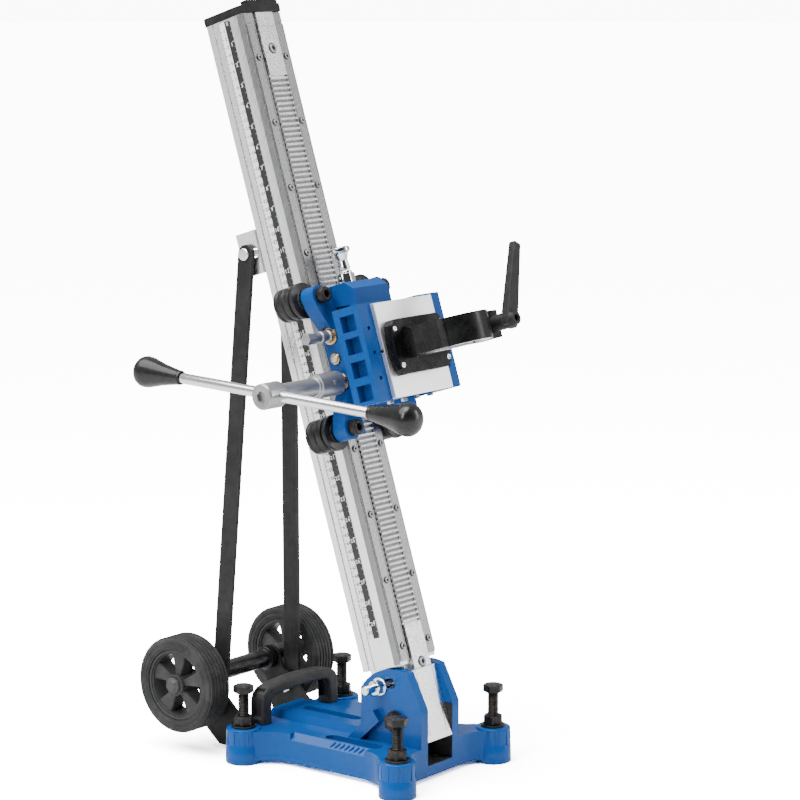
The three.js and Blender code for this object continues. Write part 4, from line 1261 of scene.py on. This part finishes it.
    def scale(self) -> None:
        """The scale on the crank's side: a black inch band, a white centimetre band, their marks."""
        axes = np.array([-self.drawing.depth, self.drawing.along, -self.drawing.across])
        flat = Place(self.drawing.column(-self.half, 0, 0).origin, axes)
        foot = self.zero - self.scale_length
        edge = foot + 0.2
        band = np.array([[-30.0, (edge + self.zero) / 2, 0.05]])
        tape = plates(flat, band, np.array([[8.6, self.zero - edge, 0.14]]))
        piece("scale_inch_band", tape, TAPE_BLACK, "column")
        eighths = np.arange(0, self.inches * 8 + 1, 2)
        long = np.where(eighths % 8 == 0, 3.4, np.where(eighths % 4 == 0, 2.0, 1.2))
        lengths = self.zero - 0.6 - eighths * self.inch / 8
        middles = np.stack([-25.8 - long / 2, lengths, np.full(len(lengths), 0.14)], axis=-1)
        sizes = np.stack([long, np.where(long > 3, 0.7, 0.4), np.full(len(lengths), 0.08)], axis=-1)
        big, small = Numerals(4.4), Numerals(3.9)
        white = [big.written(flat.moved(0, 0, 0.15), str(k), -30.6, self.zero - 3.6 - k * self.inch)
                 for k in range(self.inches)]
        piece("scale_inch_marks", [plates(flat, middles, sizes), *white], INK_WHITE, "column")
        marks = np.arange(0, self.scale_length, 5)
        reach = np.where(marks % 10 == 0, 3.2, 1.4)
        rows = self.zero - 0.6 - marks
        middles = np.stack([-44.3 + reach / 2, rows, np.full(len(rows), 0.03)], axis=-1)
        sizes = np.stack([reach, np.full(len(rows), 0.62), np.full(len(rows), 0.08)], axis=-1)
        edges = np.array([[x, (foot + self.zero) / 2, 0.03] for x in (-44.4, -34.6)])
        frames = plates(flat, edges, np.array([[0.4, self.scale_length, 0.08]] * 2))
        black = [small.written(flat.moved(0, 0, 0.05), str(k), -37.6, self.zero - 0.6 - k * 10)
                 for k in range(1, 76)]
        piece("scale_centimetre_marks", [plates(flat, middles, sizes), frames, *black], INK, "column")


@dataclass
class Carriage(Assembly):
    """The carriage: cast sides, gear housing, face plate, shafts, rollers and the lock plunger."""

    rises: ClassVar[dict[str, float]] = {"crank": 0.0, "idler": 28.0, "spindle": 56.0}
    roller_x: float = 55.8
    roller_lengths: tuple[float, float] = (431.0, 591.0)

    def build(self) -> None:
        """Builds the carriage from its castings outwards."""
        for name, _ in SIDES:
            softened(f"carriage_side_{name}", CARRIAGE_PAINT, 1.6, 4)
        softened("gear_housing", CARRIAGE_PAINT, 1.4)
        softened("carriage_face_plate", FACE, 0.7)
        for node in ("pinion_shaft", "idler_gear"):
            dressed(node, GEAR)
        self.shaft_ends()
        self.rollers()
        self.plunger()
        self.small_hardware()

    def across(self, length: float) -> Place:
        """A place on the shafts' plane whose axis runs across the rig."""
        return self.drawing.column(0, self.drawing.shaft_depth, length, Line.ACROSS)

    def shaft_ends(self) -> None:
        """The bronze bushings, the idler's end and the reserve spindle with its hexagon."""
        for name, rise in self.rises.items():
            bore, outer = (5.05, 6.8) if name == "idler" else (8.05, 10.7)
            place = self.across(self.drawing.crank_length + rise)
            ring = collar_ring(place, bore, outer, -45.9, -33.1, 0.7)
            lip = collar_ring(place, bore, outer * 0.86, -46.5, -45.0, 0.35)
            piece(f"bushing_{name}_turned", [ring, lip], BRONZE, "carriage", [f"bushing_{name}"])
        place = self.across(self.drawing.crank_length + self.rises["idler"])
        piece("idler_end", round_bar(place, [(-47.2, 3.4), (-46.6, 4.4), (-44, 4.6)], 0.3), GEAR, "idler")
        place = self.across(self.drawing.crank_length + self.rises["spindle"])
        bar = [(-76, 5.4), (-64.5, 5.4), (-63.6, 7.3), (-58.4, 7.3), (-57.4, 5.7), (-51.4, 5.7), (-50.4, 7.9),
               (45.9, 7.9)]
        parts = [
            round_bar(place, bar, 0.5, 56),
            hex_head(place, 6.2, -89.8, -75.2, phase=0.25),
            turned(place, eased([(14.4, 0.01), (14.4, 15.5), (21.6, 15.5), (21.6, 0.01)], 0.4), 56),
        ]
        piece("reserve_spindle_turned", parts, HUB_STEEL, "spindle", ["reserve_spindle"])

    def rollers(self) -> None:
        """The four stepped rollers on their bolts."""
        tread = [(-4.9, 7.0), (-4.9, 12.9), (-3.0, 13.1), (-2.9, 21.6), (2.2, 21.8), (2.6, 18.0),
                 (4.2, 17.2), (5.4, 17.4), (6.6, 20.3), (13.6, 20.4), (14.4, 19.1), (15.6, 19.1),
                 (16.4, 20.4), (23.2, 20.4), (24.0, 19.3), (25.2, 19.3), (26.0, 20.4), (29.4, 20.2),
                 (31.9, 17.2), (31.9, 10.0), (30.6, 9.6), (30.6, 6.1), (-4.9, 6.1), (-4.9, 7.0)]
        for level, length in zip(("lower", "upper"), self.roller_lengths):
            for name, side in SIDES:
                place = self.drawing.column(side * self.roller_x, 0, length, Line.DEPTH)
                roller = turned(place, eased(tread, 0.45, 2)[:-1], 80, loop=True)
                piece(f"roller_{level}_{name}_turned", roller, ROLLER, f"roller_{level}_{name}",
                      [f"roller_{level}_{name}"])
                bolt = [
                    round_bar(place, [(-28, 5.9), (33, 5.9)], 0.4, 40),
                    hex_head(place, 8.1, 32.35, 36.0, phase=0.2),
                    self.bolt_head(place),
                ]
                piece(f"roller_bolt_{level}_{name}_turned", bolt, BOLT_HEADS, "carriage",
                      [f"roller_bolt_{level}_{name}"])

    def bolt_head(self, place: Place) -> Surface:
        """A tall round head with a domed edge and a hexagonal socket facing the front."""
        rings = [Ring(-27.4, 0.01)] + [Ring(h, r) for h, r in ((-27.4, 9.0), (-28.0, 9.3), (-36.4, 9.2),
                                                              (-37.6, 8.7), (-38.3, 7.6), (-38.4, 5.2))]
        rings += [Ring(-38.0, 5.2, 4.4), Ring(-33.5, 5.2, 4.4), Ring(-33.2, 0.01)]
        return turned(place, rings, 48)

    def plunger(self) -> None:
        """The spring plunger on top of the housing, and its hexagonal socket."""
        place = self.drawing.column(0, -27, 0)
        seat = [
            hex_head(place, 9.2, 600.4, 612.5, phase=0.35),
            round_bar(place, [(612.2, 8.2), (614.6, 8.2), (615.9, 7.0)], 0.4, 56),
        ]
        piece("plunger_socket_turned", seat, CHROME, "carriage", ["plunger_socket"])
        profile = [(562, 3.2), (564, 3.95), (617, 3.95), (617.1, 7.2), (620, 7.4), (628, 6.1), (634.5, 8.4),
                   (637.4, 9.4), (638.3, 11.9), (643.2, 11.9), (644.4, 10.4)]
        piece("lock_plunger_turned", round_bar(place, profile, 0.6, 72), CHROME, "plunger", ["lock_plunger"])

    def small_hardware(self) -> None:
        """Dowels, the dome beside the plunger and the screws under the plate."""
        dome = self.drawing.column(20, -30, 0)
        parts = [round_bar(dome, [(599.8, 6.2), (602.6, 6.0), (604.4, 4.4), (605.0, 2.0)], 0.9, 40)]
        dowel = self.drawing.column(-55.3, -98.6, 508, Line.ACROSS)
        parts.append(round_bar(dowel, [(-2.0, 1.8), (2.4, 1.8)], 0.4, 24))
        piece("carriage_dark_trim", parts, BOLT_HEADS, "carriage")
        under = []
        for x in (-38.0, -12.0, 12.0, 38.0):
            under.append(hex_head(self.drawing.column(x, -78, 0), 3.6, 447.6, 451.4))
        piece("plate_screws_under", under, PLATED, "carriage")


@dataclass
class Crank(Assembly):
    """The crank: hub tube, cross arm and two tapered grips."""

    arm_x: float = -168.0
    lean: float = 2.6
    grip_start: float = 140.0

    def build(self) -> None:
        """Builds the crank."""
        depth, length = self.drawing.shaft_depth, self.drawing.crank_length
        place = self.drawing.column(0, depth, length, Line.ACROSS)
        tube = [(-187.4, 15.2), (-161.0, 15.4), (-159.8, 14.8), (-159.2, 11.0), (-97.4, 10.9), (-97.0, 12.4),
                (-94.2, 12.4), (-93.8, 14.4), (-53.4, 14.4), (-53.1, 12.6), (-53.1, 8.3), (-84, 8.3)]
        well = [Ring(-184.2, 0.01), Ring(-184.2, 7.4, 6.1), Ring(-188.6, 7.4, 6.1), Ring(-189.0, 7.6)]
        outer = eased([(-189.0, 13.4), *tube, (-84, 0.01)], 0.5)
        hub = turned(place, [*well, *outer], 72)
        front = self.drawing.column(-72, depth, length, Line.DEPTH).reversed()
        set_screw = socket_screw(front.moved(0, 0, 13.6), 2.6, 1.3)
        piece("crank_hub_turned", [hub, set_screw], HUB_STEEL, "crank", ["crank_hub"])
        arm = self.arm_place()
        rod = round_bar(arm, [(-self.grip_start, 6.4), (self.grip_start, 6.4)], 0.3, 56)
        piece("crank_arm_turned", rod, CRANK_CHROME, "crank", ["crank_arm"])
        profile = [(0.4, 7.0), (0.4, 8.2), (3.0, 8.9), (4.4, 8.7), (8, 9.2), (18, 10.9), (30, 13.2),
                   (40, 15.8), (48, 17.9), (54, 18.9), (58, 18.7), (62.5, 17.0), (66.5, 13.2), (69.2, 7.6),
                   (69.9, 2.0)]
        for name, way in (("rear", 1), ("front", -1)):
            shape = [(way * (h + self.grip_start), r) for h, r in profile]
            grip = turned(arm, eased([(shape[0][0], 0.01), *shape, (shape[-1][0], 0.01)], 2.2, 3), 72)
            piece(f"crank_grip_{name}_moulded", grip, GRIP, "crank", [f"crank_grip_{name}"], sharp=60)

    def arm_place(self) -> Place:
        """The arm's middle; its axis is level with the rig apart from a small lean."""
        hub = self.drawing.column(self.arm_x, self.drawing.shaft_depth, self.drawing.crank_length)
        c, s = math.cos(math.radians(self.lean)), math.sin(math.radians(self.lean))
        return Place(hub.origin, np.array([[0, -s, c], [1, 0, 0], [0, c, s]]))


@dataclass
class DrillCollar(Assembly):
    """The clamping collar for the drill's neck, with its machined ring and its lever."""

    depth: float = -166.0
    length: float = 510.0
    bore: float = 30.0
    wall: float = 41.0
    half: float = 16.5
    lever_x: float = 57.0
    lean: float = 28.0

    def build(self) -> None:
        """Builds the collar and its lever."""
        softened("drill_collar", COLLAR, 1.3, 3)
        self.machined_ring()
        self.screws()
        self.lever()

    def machined_ring(self) -> None:
        """The bare bore and end faces: a thin skin round the bore, split where the ring is split."""
        place = self.drawing.column(0, self.depth, self.length)
        gap = math.radians(3.6)
        angles = np.linspace(gap, 2 * np.pi - gap, 121)
        half = self.half
        lip, rim = self.bore + 0.5, self.wall - 1.4
        upper = np.array([(half - 0.6, self.bore - 0.45), (half + 0.10, lip), (half + 0.12, rim),
                          (half - 0.3, rim), (half - 0.4, lip + 0.3)])
        section = np.concatenate([upper, upper[::-1] * np.array([-1, 1])])
        r, h = section[:, 1][None], section[:, 0][None]
        grid = [r * np.cos(angles)[:, None], r * np.sin(angles)[:, None], h + 0 * angles[:, None]]
        local = np.stack(grid, axis=-1).reshape(-1, 3)
        ring = Surface(place.put(local), closed_faces(len(angles), len(section)))
        piece("collar_machined_ring", ring, BORE, "carriage", sharp=25)

    def screws(self) -> None:
        """The four screws of the backing plate."""
        heads = []
        for x in (-43.5, 43.5):
            for length in (487.0, 530.0):
                front = self.drawing.column(x, -113.6, length, Line.DEPTH).reversed()
                heads.append(socket_screw(front, 3.3, 1.6))
        piece("collar_plate_screws", heads, PLATED, "carriage")

    def lever(self) -> None:
        """The lever: a hub with a hexagonal socket, and a blade that narrows towards its tip."""
        hub = self.drawing.column(self.lever_x, 0, self.length, Line.DEPTH)
        face = self.depth - 14.3
        rings = eased([(self.depth + 16.8, 0.01), (self.depth + 16.8, 4.9), (face, 4.9), (face, 9.9),
                       (face - 29, 9.6), (face - 30.5, 8.4), (face - 33.9, 7.6)], 0.7)
        rings += [Ring(face - 34.0, 4.6), Ring(face - 33.6, 4.6, 3.7), Ring(face - 29.5, 4.6, 3.7),
                  Ring(face - 29.2, 0.01)]
        parts = [turned(hub, rings, 60)]
        angle = math.radians(self.lean)
        up = math.cos(angle) * self.drawing.along + math.sin(angle) * self.drawing.across
        side = math.cos(angle) * self.drawing.across - math.sin(angle) * self.drawing.along
        reach = np.array([-8.6, -7.6, -4, 4, 20, 45, 70, 90, 99.0, 99.8])
        centre = hub.moved(0, 0, face - 23).origin
        path = centre + reach[:, None] * MM * up
        wide = np.array([7.0, 8.8, 9.6, 9.4, 8.8, 7.9, 7.0, 6.3, 6.0, 5.0])
        thick = np.array([4.4, 5.7, 5.95, 5.95, 5.8, 5.4, 5.0, 4.7, 4.6, 3.8])
        rows = len(reach)
        blade = carried(path, np.tile(side, (rows, 1)), np.tile(self.drawing.depth, (rows, 1)), wide, thick,
                        9.0, 48)
        parts.append(blade)
        piece("clamp_lever_moulded", parts, LEVER, "lever", ["clamp_lever"])


@dataclass
class SoftBox:
    """A rectangular studio light: its place and size in metres, its power and what it faces."""

    name: str
    place: tuple[float, float, float]
    wide: float
    tall: float
    power: float
    aim: tuple[float, float, float] = (0.0, 0.0, 0.45)

    def build(self) -> None:
        """Hangs the light."""
        light = bpy.data.lights.new(self.name, "AREA")
        light.shape = "RECTANGLE"
        light.size, light.size_y = self.wide, self.tall
        light.energy = self.power
        holder = bpy.data.objects.new(self.name, light)
        holder.location = self.place
        aim = Vector(self.aim) - holder.location
        holder.rotation_euler = aim.to_track_quat("-Z", "Y").to_euler()
        bpy.context.scene.collection.objects.link(holder)


@dataclass
class Studio:
    """The pale floor, the soft lights and the camera."""

    drawing: Drawing
    floor_radius: float = 40.0
    camera_mm: tuple[float, float, float] = (-2520.2, -2002.2, 960.6)
    forward: tuple[float, float, float] = (0.7803, 0.6049, -0.1586)
    lens: float = 123.3
    dark_side: tuple[float, float, float] = (-0.76, -0.62, 0.18)
    backdrop: float = 10.5
    paper: float = 6.9
    lights: tuple[SoftBox, ...] = (
        SoftBox("key_soft_box", (-2.6, -0.2, 2.2), 0.9, 1.8, 60.0),
        SoftBox("front_soft_box", (1.9, -2.4, 1.4), 0.6, 2.2, 46.0),
        SoftBox("top_soft_box", (-0.4, -0.2, 3.0), 1.2, 1.6, 60.0),
    )

    def build(self) -> None:
        """Builds the floor, the lights and the camera."""
        self.floor()
        self.world()
        self.sky()
        for light in self.lights:
            light.build()
        self.camera()

    def floor(self) -> None:
        """A large pale disc under the rig; the camera sees it brighter than it lights the rig."""
        angles = np.arange(96) * 2 * np.pi / 96
        ring = np.stack([np.cos(angles), np.sin(angles), 0 * angles], axis=-1) * self.floor_radius
        mesh = bpy.data.meshes.new("floor")
        mesh.from_pydata(ring.tolist(), [], [list(range(96))])
        floor = bpy.data.objects.new("floor", mesh)
        bpy.context.scene.collection.objects.link(floor)
        paper = Sheet("floor_paper")
        seen = paper.nodes.new("ShaderNodeLightPath").outputs["Is Camera Ray"]
        paper.use("Base Color", paper.mixed(seen, (0.85, 0.85, 0.85), (self.paper,) * 3))
        paper.use("Roughness", paper.spread(paper.noise(3.0), 0.88, 0.92))
        paper.set(Specular_IOR_Level=0.0)
        floor.data.materials.append(paper.material)
        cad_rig.stage(floor)

    def sky(self) -> None:
        """A wide, soft overhead light that falls evenly on the whole floor."""
        light = bpy.data.lights.new("overhead", "SUN")
        light.energy = 4.4
        light.angle = math.radians(55)
        holder = bpy.data.objects.new("overhead", light)
        holder.rotation_euler = (math.radians(-16), math.radians(-20), 0.0)
        bpy.context.scene.collection.objects.link(holder)

    def world(self) -> None:
        """A white backdrop for the camera; what lights the rig is dimmer and darker on one side.

        The strength falls smoothly as the direction nears the dark side.
        """
        world = bpy.data.worlds.new("studio")
        world.use_nodes = True
        nodes, links = world.node_tree.nodes, world.node_tree.links
        surround, output = nodes["Background"], nodes["World Output"]
        direction = nodes.new("ShaderNodeTexCoord").outputs["Generated"]
        nearness = nodes.new("ShaderNodeVectorMath")
        nearness.operation = "DOT_PRODUCT"
        nearness.inputs[1].default_value = self.dark_side
        links.new(direction, nearness.inputs[0])
        strength = nodes.new("ShaderNodeMapRange")
        strength.interpolation_type = "SMOOTHSTEP"
        for name, value in (("From Min", 0.15), ("From Max", 0.9), ("To Min", 0.62), ("To Max", 0.06)):
            strength.inputs[name].default_value = value
        links.new(nearness.outputs["Value"], strength.inputs["Value"])
        links.new(strength.outputs["Result"], surround.inputs["Strength"])
        backdrop = nodes.new("ShaderNodeBackground")
        backdrop.inputs["Color"].default_value = (1.0, 1.0, 1.0, 1.0)
        backdrop.inputs["Strength"].default_value = self.backdrop
        surround.inputs["Color"].default_value = (1.0, 1.0, 1.0, 1.0)
        choose = nodes.new("ShaderNodeMixShader")
        links.new(nodes.new("ShaderNodeLightPath").outputs["Is Camera Ray"], choose.inputs["Fac"])
        links.new(surround.outputs["Background"], choose.inputs[1])
        links.new(backdrop.outputs["Background"], choose.inputs[2])
        links.new(choose.outputs["Shader"], output.inputs["Surface"])
        bpy.context.scene.world = world

    def camera(self) -> None:
        """The camera, level apart from its look down at the rig."""
        lens = bpy.data.cameras.new("camera")
        lens.lens = self.lens
        lens.sensor_width = 36.0
        lens.clip_start, lens.clip_end = 0.1, 100.0
        holder = bpy.data.objects.new("camera", lens)
        holder.location = Vector(self.drawing.rig(*self.camera_mm).origin)
        holder.rotation_euler = Vector(self.forward).to_track_quat("-Z", "Y").to_euler()
        bpy.context.scene.collection.objects.link(holder)
        bpy.context.scene.camera = holder


def main() -> None:
    """Builds the studio and the rig, and writes the sizes of the CAD and the dressed model."""
    logging.basicConfig(level=logging.INFO, format="%(name)s: %(message)s")
    cad_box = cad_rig.bounds()
    drawing = Drawing()
    Studio(drawing).build()
    for assembly in (Base, Running, Column, Carriage, Crank, DrillCollar):
        log.info("building %s", assembly.__name__)
        assembly(drawing).build()
    boxes = {"cad": [list(corner) for corner in cad_box], "visual": [list(corner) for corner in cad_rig.bounds()]}
    with open("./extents.json", "w") as sizes:
        json.dump(boxes, sizes)


if __name__ == "__main__":
    main()
